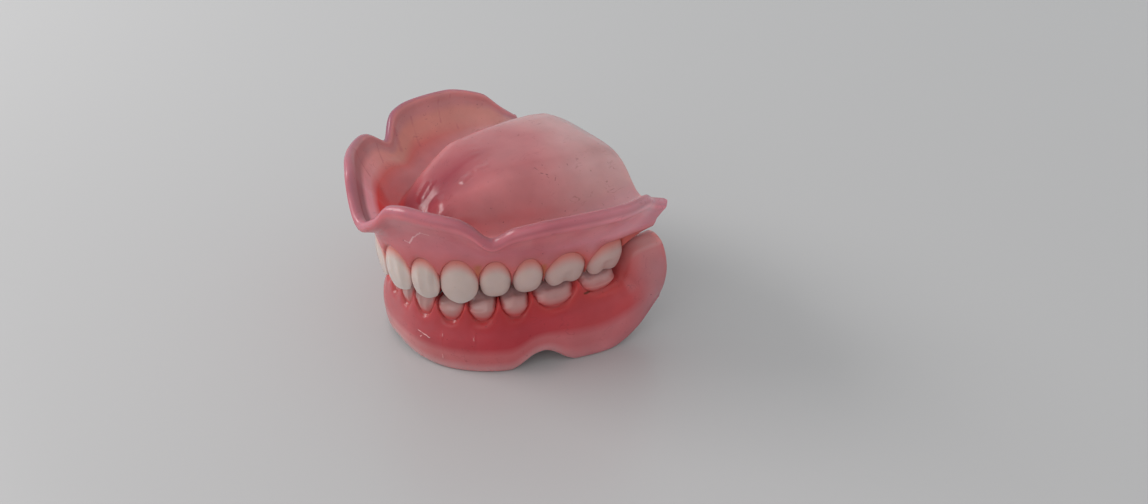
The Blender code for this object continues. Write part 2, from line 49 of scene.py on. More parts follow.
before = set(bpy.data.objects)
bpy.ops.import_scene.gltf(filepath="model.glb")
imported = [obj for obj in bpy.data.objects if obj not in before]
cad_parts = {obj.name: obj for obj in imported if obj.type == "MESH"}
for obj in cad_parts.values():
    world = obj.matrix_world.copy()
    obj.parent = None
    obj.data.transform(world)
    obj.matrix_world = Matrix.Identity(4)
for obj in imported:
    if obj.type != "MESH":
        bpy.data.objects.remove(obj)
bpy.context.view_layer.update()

MM = 0.001
BITE_HEIGHT = 17.5
BODY = "root"

# Arch lines: half width, length from front to the widest place, and squareness of the
# curve. The lower line lies inside the upper one by an overjet at the front and the sides
UPPER_HALF_WIDTH = 26.15
UPPER_LENGTH = 44.2
UPPER_SQUARENESS = 2.0
FRONT_OVERJET = 2.9
SIDE_OVERJET = 0.55
LOWER_HALF_WIDTH = UPPER_HALF_WIDTH - SIDE_OVERJET
LOWER_LENGTH = UPPER_LENGTH - FRONT_OVERJET
LOWER_SQUARENESS = 2.3
ARCH_TAIL = 30.0
ARCH_SAMPLES = 3001
RUN_SAMPLES = 1501
TUBEROSITY_LENGTH = 6.8
TUBEROSITY_LIFT = 0.12
PAD_LENGTH = 8.6
PAD_HALF_WIDTH = 3.2
PAD_DROP = 1.6
END_ROUND = 0.7
END_ANGLES = (30, 55, 75)

# Teeth: width along the arch, depth, height of the neck from the bite plane, and for front
# teeth the reach of the edge past the bite plane and how far it leans in behind the arch line
Tooth = namedtuple("Tooth", "name form width depth neck reach lean", defaults=(0.0, 0.0))
UPPER_TEETH = (
    Tooth("central_incisor", "incisor", 8.1, 6.6, 9.4, 0.8, 0.8),
    Tooth("lateral_incisor", "incisor", 6.5, 5.8, 8.9, 0.8, 0.8),
    Tooth("canine", "canine", 8.1, 7.2, 9.2, 1.5, 1.0),
    Tooth("first_premolar", "premolar", 7.0, 8.3, 8.7),
    Tooth("second_premolar", "premolar", 6.9, 8.3, 8.5),
    Tooth("first_molar", "molar", 9.8, 9.4, 8.2),
    Tooth("second_molar", "molar", 9.5, 9.2, 8.0),
)
LOWER_TEETH = (
    Tooth("central_incisor", "incisor", 5.35, 5.6, 5.6, 1.0, 0.7),
    Tooth("lateral_incisor", "incisor", 5.95, 5.8, 5.5, 1.0, 1.4),
    Tooth("canine", "canine", 6.8, 6.8, 5.3, 0.1, 3.0),
    Tooth("first_premolar", "premolar", 6.95, 8.0, 4.9),
    Tooth("second_premolar", "premolar", 7.1, 8.4, 4.4),
    Tooth("first_molar", "molar", 10.7, 9.6, 3.8),
    Tooth("second_molar", "molar", 10.4, 9.4, 3.1),
)
TEETH_A_SIDE = len(UPPER_TEETH)
FIRST_PREMOLAR = 3
FIRST_MOLAR = 5
ROOT_DEPTH = 1.6
UPPER_CONTACT_GAP = 0.12
LOWER_CONTACT_GAP = 0.39
BITE_GAP = 0.4
EDGE_THICKNESS = 1.3
NECK_SET_BACK = 0.35
BACK_NECK_CURVE_END = 0.35
UPPER_NECK_WIDTH = 0.88
LOWER_NECK_WIDTH = 0.74
WIDEST_HEIGHT = 0.55
CORNER_RISE = 0.85
CANINE_POINT = 1.2
TAPER_START = 0.6
INCISOR_TAPER = 0.25
CANINE_TAPER = 0.37
NECK_CURVE_END = 0.4
LEAN_POWER = 1.6
BACK_FACE_POWER = 1.25
INCISOR_LOBES = 0.12
CANINE_BULGE = 0.14
LOBES_DEPTH = 0.35
LOBES_FADE = 2.0
LOBES_TOP = 0.96
EDGE_WIDTH = 0.84
EDGE_INSET = 0.3
CUSP_INSET = 1.9
CUSP_SPACING = 4.8
CUSP_HEIGHT = 1.0
EMBRASURE_RISE = 1.5
GROOVE_RISE = 0.8
FULL_LIFT = 2.2
LEAST_LIFT = 0.4
CUSP_TOP_SHARE = 0.56
CUSP_CLEARANCE = 1.3
MOLAR_GROOVE_DEPTH = 0.35
MOLAR_GROOVE_WIDTH = 0.16
BITE_CURVE = 0.2

# Rings of the crowns. Heights as shares of the crown, where -1 is the buried end
FRONT_RINGS = (-1.0, 0.0, 0.12, 0.25, 0.4, 0.55, 0.7, 0.82, 0.92, 0.98, 1.0)
BACK_RINGS = (-1.0, 0.0, 0.14, 0.28, 0.42)
# Over the cusps of the back teeth: share of the width, inset from the outer and inner face,
# lift over the biting face, and share of the crown's height
CUSP_RINGS = (
    (0.97, 0.35, 1.9, 0.6),
    (0.93, 0.8, 0.9, 0.75),
    (0.85, 1.25, 0.3, 0.88),
    (0.74, CUSP_INSET, 0.0, 1.0),
    (0.6, 2.5, 0.0, 1.0),
    (0.34, 3.3, 0.0, 1.0),
    (0.15, 3.9, 0.0, 1.0),
)
CROWN_SQUARENESS = 2.6
WIDEST_SHARE = 0.3

# Gum margins and walls
UPPER_PAPILLA = 3.5
LOWER_PAPILLA = 3.9
UPPER_WEB = 3.2
LOWER_WEB = 0.6
NECK_SHOW = 0.4
UPPER_MARGIN_POWER = 2.3
LOWER_MARGIN_POWER = 2.6
COLLAR = 0.25
COLLAR_INSET = 0.4
PAPILLA_INSET = 0.75
INSET_POWER = 4
WEB_POWER = 10
ROOT_RISE = 1.5
PALATE_MARGIN_DROP = 1.2
PALATE_THICKNESS = 2.2
SOCKET_ROOF = 0.3
BEHIND_TEETH = 0.5
INNER_LIP_IN = 0.9
INNER_LIP_RISE = 0.2
INNER_LIP_WEB = 0.7
LOWER_WALL = 2.2
INNER_WALL_BEND = 0.7
UPPER_BORDER_RADIUS = 1.25
LOWER_BORDER_RADIUS = 1.2
FLANGE_HOLLOW = 0.5
LABIAL_HOLLOW = 0.6
LABIAL_END = 4.5
LINGUAL_HOLLOW = 0.6
WALL_POWER = 1.4

# Rows across the upper base, each with the zone that colours it. Over the tissue side of the
# palate, as a share of the way from the ridge to the spine
VAULT_ROWS = ((1.0, "palate"), (0.8, "palate"), (0.62, "palate"), (0.46, "palate"),
              (0.34, "vault_side"), (0.24, "vault_side"), (0.15, "vault_side"),
              (0.07, "ridge"))
# Up the wall between the ridge hollow and the border, as an angle in degrees
WALL_ROWS = ((90, "ridge"), (76, "ridge"), (62, "ridge"), (49, "inner_low"),
             (37, "inner_wall"), (26, "inner_wall"), (16, "inner_top"), (7, "inner_top"))
# Round the border: share of the quarter turn up to the rim, and of the turn from there until
# the bead runs flush into the flange
BORDER_ROWS = ((0.0, 0.0, "inner_top"), (0.5, 0.0, "inner_top"), (1.0, 0.0, "rim"),
               (1.0, 0.33, "shoulder"), (1.0, 0.67, "shoulder"), (1.0, 1.0, "flange"))
# Down the flange, as a share of the way to the roots, and under the palate, from the teeth
FLANGE_SHARES = (0.22, 0.42, 0.62, 0.82)
UNDER_SHARES = (0.0, 0.12, 0.25, 0.4, 0.6, 0.8, 1.0)
# Round the gum margin: share of the papilla's inset, depth inwards, rise, and shares of the
# scallop and of the web between two teeth
UPPER_MARGIN_ROWS = (
    (0.8, 0.0, 0.35, 0.0, 0.0),
    (1.0, 0.5, -0.05, 0.0, 0.3),
    (1.0, 1.3, 0.0, 0.25, 1.0),
)

# Rows round the lower base's borders: step inwards and rise, in radii of the border
OUTER_BEAD = ((0.0, 0.0, "border"), (-0.5, 0.0, "border"), (-0.85, 0.35, "border"),
              (-1.0, 1.0, "border"))
TONGUE_BEAD = ((1.0, 1.0, "inside"), (0.7, 0.3, "inside"), (0.0, 0.0, "border"),
               (-0.7, 0.3, "border"), (-1.0, 1.0, "inside"))
INNER_BEAD = ((1.0, 1.0, "border"), (0.85, 0.35, "border"), (0.5, 0.0, "border"))
OUTER_FACE_ROWS = ((0.14, "flange_low"), (0.28, "flange_low"), (0.45, "flange"),
                   (0.62, "flange"), (0.8, "flange"))
# Over the crest of the lower base, beside the teeth and over the pad behind them: shares of
# the papilla's inset and of a tooth's depth, further step inwards, rise over the gum margin,
# step from the pad's middle, rise over the pad, share of the web, and zone
CREST_ROWS = (
    (0.8, 0.0, 0.0, -0.35, -2.6, -0.9, 0.0, "margin"),
    (1.0, 0.0, 0.5, 0.05, -1.7, -0.4, 0.0, "margin"),
    (0.0, 0.5, 0.0, -0.3, 0.0, 0.0, 1.0, "margin"),
    (0.0, 1.0, -0.9, -0.6, 1.9, -0.5, 0.0, "inside"),
    (0.0, 1.0, BEHIND_TEETH, -0.7, PAD_HALF_WIDTH, -PAD_DROP, 0.0, "inside"),
)
COLLAR_HEIGHT = 0.55
PAD_BLEND = 2.6
PAD_ROOT_DROP = 1.6
PAD_ROOT_OUT = 0.75
LINGUAL_SHARES = (0.33, 0.66)
INNER_WALL_SHARES = (0.75, 0.5, 0.25)
ROOF_ANGLES = (20, 40, 62)

# Lines along the upper base. Columns: place in teeth, height over the bite plane, and how
# far the line stands out from the arch line
UPPER_BORDER = (
    (0.0, 15.5, 3.2),
    (0.54, 18.4, 3.1),
    (0.95, 22.2, 3.2),
    (1.6, 23.2, 4.0),
    (2.76, 22.8, 5.8),
    (4.0, 21.6, 7.4),
    (4.6, 22.6, 8.5),
    (5.25, 23.1, 9.0),
    (6.14, 22.8, 8.7),
    (6.88, 21.3, 5.7),
    (7.5, 18.2, 2.9),
    (8.0, 16.6, 2.2),
)
UPPER_RIDGE = (
    (0.0, 12.3, -5.2),
    (6.0, 12.0, -5.2),
    (7.2, 13.0, -5.0),
    (8.0, 14.2, -4.5),
)

# Palate vault along the midline: distance behind the ridge hollow and rise over it
VAULT = (
    (0.0, 0.0),
    (9.8, 6.4),
    (18.9, 10.8),
    (30.2, 11.3),
    (38.0, 10.5),
    (42.5, 9.2),
    (46.1, 6.9),
)
VAULT_FULLNESS = 2.8
SPINE_START = 15.0

# What differs between the two sides of the upper border: the notch for the cheek frenum, by
# its place in teeth, depth, half width in teeth and step inwards, and how much lower the
# tuberosity end sits
Side = namedtuple("Side", "notch_place notch_depth notch_width notch_in end_drop")
DROP_START = 6.6
LEFT_SIDE = Side(3.35, 4.0, 0.42, 1.2, 0.0)
RIGHT_SIDE = Side(3.68, 3.2, 0.5, 1.9, 1.6)

# Lines along the lower base. Columns: place in teeth, height over the floor, and how far the
# line stands out from the arch line
LOWER_BORDER = (
    (0.0, 1.4, 0.2),
    (1.5, 0.4, 0.2),
    (2.6, 0.0, 0.4),
    (4.2, 0.0, 0.8),
    (5.2, 3.6, 0.5),
    (5.85, 0.0, 1.6),
    (6.6, 0.0, 2.5),
    (7.3, 2.6, 2.5),
    (8.0, 8.5, 2.4),
)
LOWER_FLANGE = (
    (0.0, 7.0, 1.5),
    (4.2, 7.0, 1.9),
    (5.2, 9.0, 1.1),
    (6.4, 8.0, 1.6),
    (7.2, 11.0, 3.2),
    (8.0, 16.5, 5.2),
)
LOWER_PAD = (
    (7.0, 16.4, -4.6),
    (7.5, 22.0, -2.4),
    (8.0, 24.4, 0.2),
)
LOWER_RIDGE = (
    (0.0, 8.2, -4.0),
    (6.0, 9.2, -4.4),
    (7.0, 11.5, -4.0),
    (7.5, 17.3, -2.6),
    (8.0, 22.0, -0.6),
)
LINGUAL_BORDER = (
    (0.0, 1.6, -8.0),
    (3.0, 1.3, -8.8),
    (6.0, 2.0, -10.2),
    (7.2, 3.2, -9.6),
    (8.0, 7.0, -7.4),
)

# Colours of each cross-section row at the front, middle, back and end of an arch, and
# the places between which each gives way to the next. Most are the acrylic's own colours, but
# round the upper border they hold painted shade and light: the rim is painted darker where
# light falls on its top and its highlight, and the shoulder and flange lighter where they turn
# down into shade, most at the back
TINT_SPANS = ((0.0, 4.0), (4.6, 7.0), (7.0, 7.8))
UPPER_TINT_ROWS = {
    # The front of the palate is partly painted shade, darker under the highlight that falls there
    "palate": ((0.27, 0.038, 0.055), (0.42, 0.14, 0.15), (0.46, 0.25, 0.25), (0.47, 0.26, 0.26)),
    "vault_side": ((0.31, 0.04, 0.055), (0.50, 0.185, 0.195), (0.55, 0.32, 0.32),
                   (0.56, 0.34, 0.34)),
    "ridge": ((0.58, 0.014, 0.016), (0.54, 0.18, 0.19), (0.57, 0.30, 0.32), (0.57, 0.32, 0.34)),
    "inner_low": ((0.62, 0.02, 0.02), (0.57, 0.14, 0.13), (0.55, 0.24, 0.22),
                  (0.56, 0.27, 0.27)),
    "inner_wall": ((0.74, 0.34, 0.39), (0.57, 0.23, 0.195), (0.56, 0.25, 0.22),
                   (0.56, 0.26, 0.26)),
    "inner_top": ((0.36, 0.14, 0.16), (0.44, 0.16, 0.17), (0.46, 0.21, 0.22),
                  (0.46, 0.21, 0.24)),
    # Painted shade: the rim is darker where light falls on the bead's top and its highlight
    "rim": ((0.37, 0.14, 0.17), (0.29, 0.09, 0.11), (0.33, 0.12, 0.145), (0.35, 0.14, 0.17)),
    # Painted light and shade, graded from the darker rim to the lighter flange
    "shoulder": ((0.43, 0.155, 0.19), (0.41, 0.125, 0.155), (0.52, 0.235, 0.275),
                 (0.53, 0.23, 0.28)),
    # Painted light: the upper flange is lighter where it turns down into shade, most at the back
    "flange": ((0.56, 0.18, 0.20), (0.60, 0.185, 0.22), (0.79, 0.37, 0.43), (0.71, 0.255, 0.315)),
    "collar": ((0.54, 0.125, 0.135), (0.57, 0.16, 0.17), (0.60, 0.16, 0.17),
               (0.66, 0.22, 0.24)),
    "margin": ((0.54, 0.13, 0.125), (0.54, 0.115, 0.11), (0.58, 0.12, 0.10), (0.64, 0.14, 0.14)),
    "underside": ((0.50, 0.12, 0.13), (0.48, 0.12, 0.13), (0.48, 0.15, 0.16),
                  (0.50, 0.15, 0.16)),
}
# The right half of the upper border is plain on the inside, and its rim and shoulder are painted
# dark mauve: painted shade over the rim's highlight and along its edge
UPPER_RIGHT_TINT_ROWS = dict(
    UPPER_TINT_ROWS,
    inner_top=((0.36, 0.14, 0.16), (0.49, 0.20, 0.20), (0.50, 0.21, 0.21), (0.50, 0.22, 0.24)),
    rim=((0.37, 0.14, 0.17), (0.29, 0.095, 0.13), (0.31, 0.11, 0.145), (0.34, 0.12, 0.16)),
    shoulder=((0.43, 0.155, 0.19), (0.22, 0.065, 0.11), (0.23, 0.075, 0.115),
              (0.30, 0.10, 0.15)))
LOWER_TINT_ROWS = {
    "border": ((0.48, 0.25, 0.25), (0.50, 0.22, 0.23), (0.48, 0.16, 0.18), (0.44, 0.11, 0.14)),
    "flange_low": ((0.45, 0.17, 0.17), (0.48, 0.12, 0.13), (0.50, 0.15, 0.165),
                   (0.45, 0.18, 0.20)),
    "flange": ((0.38, 0.09, 0.10), (0.42, 0.042, 0.055), (0.47, 0.066, 0.075),
               (0.455, 0.19, 0.205)),
    "collar": ((0.38, 0.07, 0.08), (0.41, 0.035, 0.04), (0.48, 0.06, 0.06), (0.50, 0.18, 0.19)),
    "margin": ((0.41, 0.08, 0.08), (0.42, 0.04, 0.04), (0.48, 0.07, 0.07), (0.56, 0.29, 0.29)),
    "inside": ((0.48, 0.08, 0.09), (0.46, 0.06, 0.07), (0.46, 0.07, 0.08), (0.50, 0.22, 0.23)),
}

# Share of a tooth's main colour left in red, green and blue at its clearer biting edge
EDGE_SHADE = np.array((0.93, 0.97, 1.0, 1.0))

# How late along an arch the teeth take on the colour of the last molar
BACK_TINT_POWER = 1.3

# Stains of a crown: distance from the gum margin over which the gum's colour fades out, share
# of it on the sides, share of the height where the clearer edge starts, and how they fade
NECK_FADE = 2.4
NECK_FADE_POWER = 1.3
SIDE_STAIN = 0.3
EDGE_START = 0.7
EDGE_POWER = 1.5

# Marks, as soft lines: ends, radius and strength, then a colour. Dark scratches, amber and
# brown stains where upper back teeth touch, darker veins in the flanges, and painted highlights
# on the faces under the lip, over fine raised scratches on the lower base
SCRATCH = (0.09, 0.03, 0.03, 1.0)
STAIN = (0.10, 0.03, 0.012, 1.0)
AMBER = (0.42, 0.13, 0.055, 1.0)
VEIN = (0.34, 0.07, 0.10, 1.0)
# Painted highlight: pale glints of light painted into the colour
GLINT = (0.85, 0.62, 0.62, 1.0)
UPPER_STAINS = (
    ((11.0, 6.6, 39.7), (12.0, 7.2, 39.2), 0.16, 0.7, SCRATCH),
    ((12.4, 7.2, 38.9), (13.2, 8.8, 38.2), 0.14, 0.7, SCRATCH),
    ((13.2, 8.2, 38.3), (14.2, 8.8, 37.4), 0.14, 0.6, SCRATCH),
    ((13.9, 10.0, 37.6), (14.4, 9.4, 37.1), 0.14, 0.6, SCRATCH),
    ((23.1, 0.7, 24.2), (22.0, 1.1, 21.7), 1.2, 0.85, AMBER),
    ((22.0, 1.2, 21.9), (22.1, 1.1, 21.5), 0.4, 0.8, STAIN),
    ((18.1, -11.7, 25.8), (17.7, -11.8, 23.6), 1.4, 0.8, AMBER),
    ((-15.9, -20.8, 40.4), (-12.8, -19.3, 35.0), 0.5, 0.35, VEIN),
    ((-22.1, -13.1, 37.1), (-18.7, -13.6, 34.2), 0.45, 0.3, VEIN),
    ((-30.2, -0.6, 37.5), (-24.5, -1.6, 32.6), 0.5, 0.35, VEIN),
    ((-34.1, 8.6, 40.4), (-29.4, 6.7, 34.7), 0.4, 0.3, VEIN),
    ((-33.2, 11.6, 39.3), (-27.7, 10.3, 32.9), 0.45, 0.3, VEIN),
    ((-27.3, -6.2, 36.7), (-23.7, -6.8, 33.3), 0.9, 0.3, VEIN),
    # Painted highlight along the upper labial flange
    ((8.6, -22.4, 31.0), (9.7, -21.8, 30.8), 0.25, 0.35, GLINT),
    ((9.7, -21.8, 30.8), (11.0, -21.6, 32.7), 0.3, 0.6, GLINT),
    ((11.0, -21.6, 32.7), (13.4, -21.2, 34.7), 0.25, 0.5, GLINT),
    ((13.4, -21.2, 34.7), (14.8, -20.2, 34.6), 0.25, 0.3, GLINT),
)
# Ridges that the gum's folds have left on the tissue side: ends, radius and rise
UPPER_RIDGES = (
    ((-2.6, -10.3, 35.1), (-1.6, -13.1, 32.8), 1.7, 0.35),
    ((4.6, -12.0, 33.8), (5.6, -12.2, 33.3), 3.6, 0.6),
    ((4.1, -6.4, 37.6), (4.3, -4.6, 38.3), 1.3, 0.2),
    ((4.4, -3.1, 39.4), (5.2, -1.6, 39.9), 1.1, 0.16),
)
LOWER_STAINS = (
    ((26.7, 20.1, 13.9), (30.1, 24.6, 11.4), 0.16, 0.6, SCRATCH),
    ((26.1, 13.2, 13.2), (26.6, 18.6, 14.2), 0.14, 0.35, SCRATCH),
    ((25.2, 9.7, 14.9), (24.9, 11.3, 14.7), 0.45, 0.95, STAIN),
    # Painted highlights down the lower labial face, over the raised scratches below
    ((13.3, -18.2, 10.1), (13.6, -18.7, 3.0), 0.16, 0.4, GLINT),
    ((18.1, -13.3, 10.9), (18.7, -13.8, 5.8), 0.14, 0.35, GLINT),
    ((8.2, -21.3, 8.1), (11.2, -20.1, 7.4), 0.2, 0.7, GLINT),
    ((8.8, -21.1, 6.9), (9.6, -21.0, 7.6), 0.2, 0.6, GLINT),
)
# Raised edges of the scratches under the painted highlights on the lower base
LOWER_RIDGES = (
    ((8.2, -21.3, 8.1), (11.2, -20.1, 7.4), 0.5, 0.12),
    ((13.3, -18.2, 10.1), (13.6, -18.7, 3.0), 0.5, 0.08),
    ((18.1, -13.3, 10.9), (18.7, -13.8, 5.8), 0.5, 0.08),
)

# Finish of a material: how far red, green and blue light travel in it, size and strength of
# its cloudy patches, strength of its specks and its relief, and how strongly it mirrors the
# room, against 0.5 for a clean surface
Finish = namedtuple("Finish", "travel cloud_size cloud_strength specks relief sheen")
UPPER_FINISH = Finish((1.0, 0.35, 0.3), 160.0, 0.14, 0.5, 0.05, 0.25)
LOWER_FINISH = Finish((1.0, 0.3, 0.25), 140.0, 0.16, 0.5, 0.05, 0.25)
TOOTH_FINISH = Finish((1.0, 0.7, 0.5), 240.0, 0.1, 0.12, 0.12, 0.5)
ACRYLIC_IOR = 1.49
RELIEF_DEPTH = 0.0001
FIBRE_COLOUR = (0.16, 0.035, 0.05, 1.0)
SPECK_COLOUR = (0.05, 0.02, 0.02, 1.0)

# Noises of the acrylic, their scale per metre, and the levels between which each one shows
FIBRE_SCALE = 620.0
FIBRE_TURN = (0.5, 0.3, 0.9)
FIBRE_STRETCH = (1.0, 0.32, 0.6)
FIBRE_WIDTH = 0.016
FIBRE_PATCH_SCALE = 260.0
FIBRE_PATCH_LEVELS = (0.55, 0.66)
SPECK_SCALE = 1500.0
SPECK_LEVELS = (0.70, 0.78)
CLOUD_LEVELS = (0.3, 0.7)
CLOUD_ROUGHNESS = 0.08
MARK_WAVER_SCALE = 1100.0
MARK_WAVER = 0.0005

# Density of the fine surfaces, and the gap in metres at which points are welded
COLUMNS_A_TOOTH = 14
ROW_STEPS = 4
TOOTH_SIDES = 48
CROWN_ANGLES = 2 * np.pi * (np.arange(TOOTH_SIDES) + 0.5) / TOOTH_SIDES
RING_STEPS = 5
WELD_DISTANCE = 0.000002


def cubic(t, start, stop, leave, arrive):
    """Cubic from start to stop over a step, with its slopes over that step at both ends."""
    return ((2 * t**3 - 3 * t**2 + 1) * start + (t**3 - 2 * t**2 + t) * leave
            + (3 * t**2 - 2 * t**3) * stop + (t**3 - t**2) * arrive)


def follow(stations, place, column):
    """Smooth line through the stations: cubic pieces whose slope is level at each high or
    low station and at 0, the harmonic mean of the two neighbouring slopes at the other inner
    stations, and that of the chord at an end."""
    table = np.array(stations, float)
    x, y = table[:, 0], table[:, column]
    place = np.clip(place, x[0], x[-1])
    step = np.diff(x)
    slope = np.diff(y) / step
    turn = np.zeros(len(x))
    same = slope[:-1] * slope[1:] > 0
    before, after = slope[:-1][same], slope[1:][same]
    turn[1:-1][same] = 2 * before * after / (before + after)
    turn[0], turn[-1] = slope[0] * (x[0] > 0), slope[-1]
    i = np.clip(np.searchsorted(x, place, side="right") - 1, 0, len(step) - 1)
    return cubic((place - x[i]) / step[i], y[i], y[i + 1], step[i] * turn[i],
                 step[i] * turn[i + 1])


def follow_line(stations, place):
    """Height of a line along a base, and its depth inwards from the arch line."""
    return follow(stations, place, 1), -follow(stations, place, 2)


def between(first, last, share):
    return first + (last - first) * share


def ease(share):
    """Share of a change that starts and ends gently."""
    return share**2 * (3 - 2 * share)


class Arch:
    """Line that the outer faces of one set of teeth follow: a superellipse quarter on each
    side, then straight back, measured by its length from the midline."""

    def __init__(self, half_width, length, squareness, teeth, end, side):
        angle = np.linspace(0.0, np.pi / 2, ARCH_SAMPLES)
        x = np.append(half_width * np.sin(angle) ** (2 / squareness), half_width)
        y = np.append(-length * np.cos(angle) ** (2 / squareness), ARCH_TAIL)
        run = np.concatenate([[0.0], np.cumsum(np.hypot(np.diff(x), np.diff(y)))])
        self.run = np.linspace(0.0, run[-1], RUN_SAMPLES)
        self.x = np.interp(self.run, run, x)
        self.y = np.interp(self.run, run, y)
        self.heading = np.unwrap(np.arctan2(np.gradient(self.y), np.gradient(self.x)))
        self.heading[0] = 0.0
        self.teeth = teeth
        self.side = side
        self.marks = np.concatenate([[0.0], np.cumsum([t.width for t in teeth])])
        self.marks = np.append(self.marks, self.marks[-1] + end)

    def along(self, place):
        return np.interp(place, np.arange(len(self.marks)), self.marks)

    def point(self, run, depth):
        run, depth = np.broadcast_arrays(run, depth)
        heading = np.interp(run, self.run, self.heading)
        x = np.interp(run, self.run, self.x) - depth * np.sin(heading)
        y = np.interp(run, self.run, self.y) + depth * np.cos(heading)
        return x, y

    def measure(self, x, y):
        """Length along this line and depth inwards from it, by the nearest of its points."""
        gap = np.hypot(x[..., None] - self.x, y[..., None] - self.y)
        nearest = gap.argmin(axis=-1)
        heading = self.heading[nearest]
        dx = x - self.x[nearest]
        dy = y - self.y[nearest]
        return self.run[nearest], -dx * np.sin(heading) + dy * np.cos(heading)

    def height(self, above):
        return BITE_HEIGHT + self.side * above


UPPER = Arch(UPPER_HALF_WIDTH, UPPER_LENGTH, UPPER_SQUARENESS, UPPER_TEETH,
             TUBEROSITY_LENGTH, 1)
LOWER = Arch(LOWER_HALF_WIDTH, LOWER_LENGTH, LOWER_SQUARENESS, LOWER_TEETH, PAD_LENGTH, -1)


def gum_margin(arch, place):
    """Height of the outer gum margin: at the neck in the middle of each tooth, falling to
    the papilla between two teeth with a power of the distance from the middle."""
    papilla, power = UPPER_PAPILLA, UPPER_MARGIN_POWER
    if arch.side < 0:
        papilla, power = LOWER_PAPILLA, LOWER_MARGIN_POWER
    necks = np.array([tooth.neck for tooth in arch.teeth])
    tips = np.empty(TEETH_A_SIDE + 1)
    tips[0] = necks[0] - papilla
    tips[1:-1] = (necks[:-1] + necks[1:]) / 2 - papilla
    tips[-1] = necks[-1]
    number = np.clip(place.astype(int), 0, TEETH_A_SIDE - 1)
    off = np.clip(2 * (place - number) - 1, -1, 1)
    tip = np.where(off < 0, tips[number], tips[number + 1])
    return necks[number] + (tip - necks[number]) * np.abs(off) ** power, off


def along_teeth(arch, place, measure):
    """A measure of the teeth, evenly changing from the middle of each tooth to the next."""
    values = [getattr(tooth, measure) for tooth in arch.teeth]
    return np.interp(place, np.arange(TEETH_A_SIDE) + 0.5, values)


def upper_rows(place, half):
    """Cross-sections of the upper base: from the palate's spine on the tissue side, over the
    ridge hollow, up a wall that follows a power of cosine and sine, round the border on a
    circle until it runs flush into the outer flange, down to the gum margin, and back under
    the palate."""
    arch = UPPER
    run = arch.along(place)
    dip = np.exp(-((place - half.notch_place) / half.notch_width) ** 2)
    border, stand = follow_line(UPPER_BORDER, place)
    border = border - half.notch_depth * dip
    stand = stand + half.notch_in * dip
    ridge, ridge_in = follow_line(UPPER_RIDGE, place)
    radius = UPPER_BORDER_RADIUS
    margin, off = gum_margin(arch, place)
    depth = along_teeth(arch, place, "depth")
    tail = np.clip(place - TEETH_A_SIDE, 0, 1)
    margin = margin + tail * (ridge - margin - PALATE_THICKNESS) * TUBEROSITY_LIFT
    inner_margin = margin - PALATE_MARGIN_DROP * (1 - tail)
    margin = margin + NECK_SHOW * (1 - off**2) * (1 - tail)
    web = UPPER_WEB * off**WEB_POWER * (1 - tail)
    inset = PAPILLA_INSET * off**INSET_POWER * (1 - tail)
    ridge_x, ridge_y = arch.point(run, ridge_in)
    end_y = arch.point(arch.marks[-1], 0.0)[1]
    spine_y = between(-UPPER_LENGTH + SPINE_START, end_y, place / (TEETH_A_SIDE + 1))
    reach = np.hypot(ridge_x, spine_y - ridge_y)
    rows = []
    zones = []

    def vault(share):
        x = ridge_x * (1 - share)
        y = between(ridge_y, spine_y, share)
        side_share = x / np.maximum(np.interp(y, ridge_y, ridge_x), x + 0.001)
        fall = (1 + np.cos(np.pi * side_share**VAULT_FULLNESS)) / 2
        rise = follow(VAULT, y - ridge_y[0], 1)
        return x, y, np.interp(y, ridge_y, ridge) + rise * fall

    def palate(share, drop, zone):
        x, y, high = vault(share)
        rows.append((x, y, BITE_HEIGHT + high - drop))
        zones.append(zone)

    def side(depth_in, high, zone):
        x, y = arch.point(run, depth_in)
        rows.append((x, y, BITE_HEIGHT + high))
        zones.append(zone)

    for share, zone in VAULT_ROWS:
        palate(share + 0 * place, 0.0, zone)
    wall_top = border - radius
    labial = LABIAL_HOLLOW * np.clip(1 - place / LABIAL_END, 0, 1)
    behind = np.clip((place - DROP_START) / (TEETH_A_SIDE + 1 - DROP_START), 0, 1)
    for angle, zone in WALL_ROWS:
        turn = np.radians(angle)
        side(between(ridge_in, stand + radius, np.cos(turn) ** WALL_POWER)
             + labial * np.sin(2 * turn),
             between(wall_top, ridge, np.sin(turn) ** WALL_POWER), zone)
    root = between(along_teeth(arch, place, "neck"), margin, tail) + ROOT_RISE
    slant = np.arctan2(-COLLAR - stand, wall_top - root)
    for quarter, rest, zone in BORDER_ROWS:
        turn = quarter * np.pi / 2 + rest * (np.pi / 2 + slant)
        side(stand + radius * np.cos(turn), wall_top + radius * np.sin(turn), zone)
    top_in = stand - radius * np.cos(slant)
    top = wall_top - radius * np.sin(slant)
    hollow = FLANGE_HOLLOW * (1 - behind) + labial
    for share in FLANGE_SHARES:
        side(between(top_in, -COLLAR, share) + hollow * np.sin(np.pi * share) ** 2,
             between(top, root, share), "flange")
    side(COLLAR_INSET * inset - COLLAR, between(root, margin, 0.5), "collar")
    for inset_share, depth_in, rise, scallop, web_share in UPPER_MARGIN_ROWS:
        side(depth_in + inset_share * inset,
             margin + rise + scallop * (1 - off**2) - web_share * web, "margin")
    side(depth / 2, between(margin, inner_margin, 0.5) + SOCKET_ROOF - web, "underside")
    side(depth - INNER_LIP_IN, inner_margin + INNER_LIP_RISE - INNER_LIP_WEB * web, "underside")
    first = (depth + BEHIND_TEETH - ridge_in) / reach
    extra = vault(first)[2] - (inner_margin + SOCKET_ROOF) - PALATE_THICKNESS
    for share in UNDER_SHARES:
        palate(between(first, 1.0, share), PALATE_THICKNESS + extra * (1 - share) ** 3,
               "underside")
    points = np.moveaxis(np.array(rows), 2, 0)
    outwards = points[..., 0] / UPPER_HALF_WIDTH
    points[..., 2] -= half.end_drop * (behind**2)[:, None] * outwards**2
    return points, zones


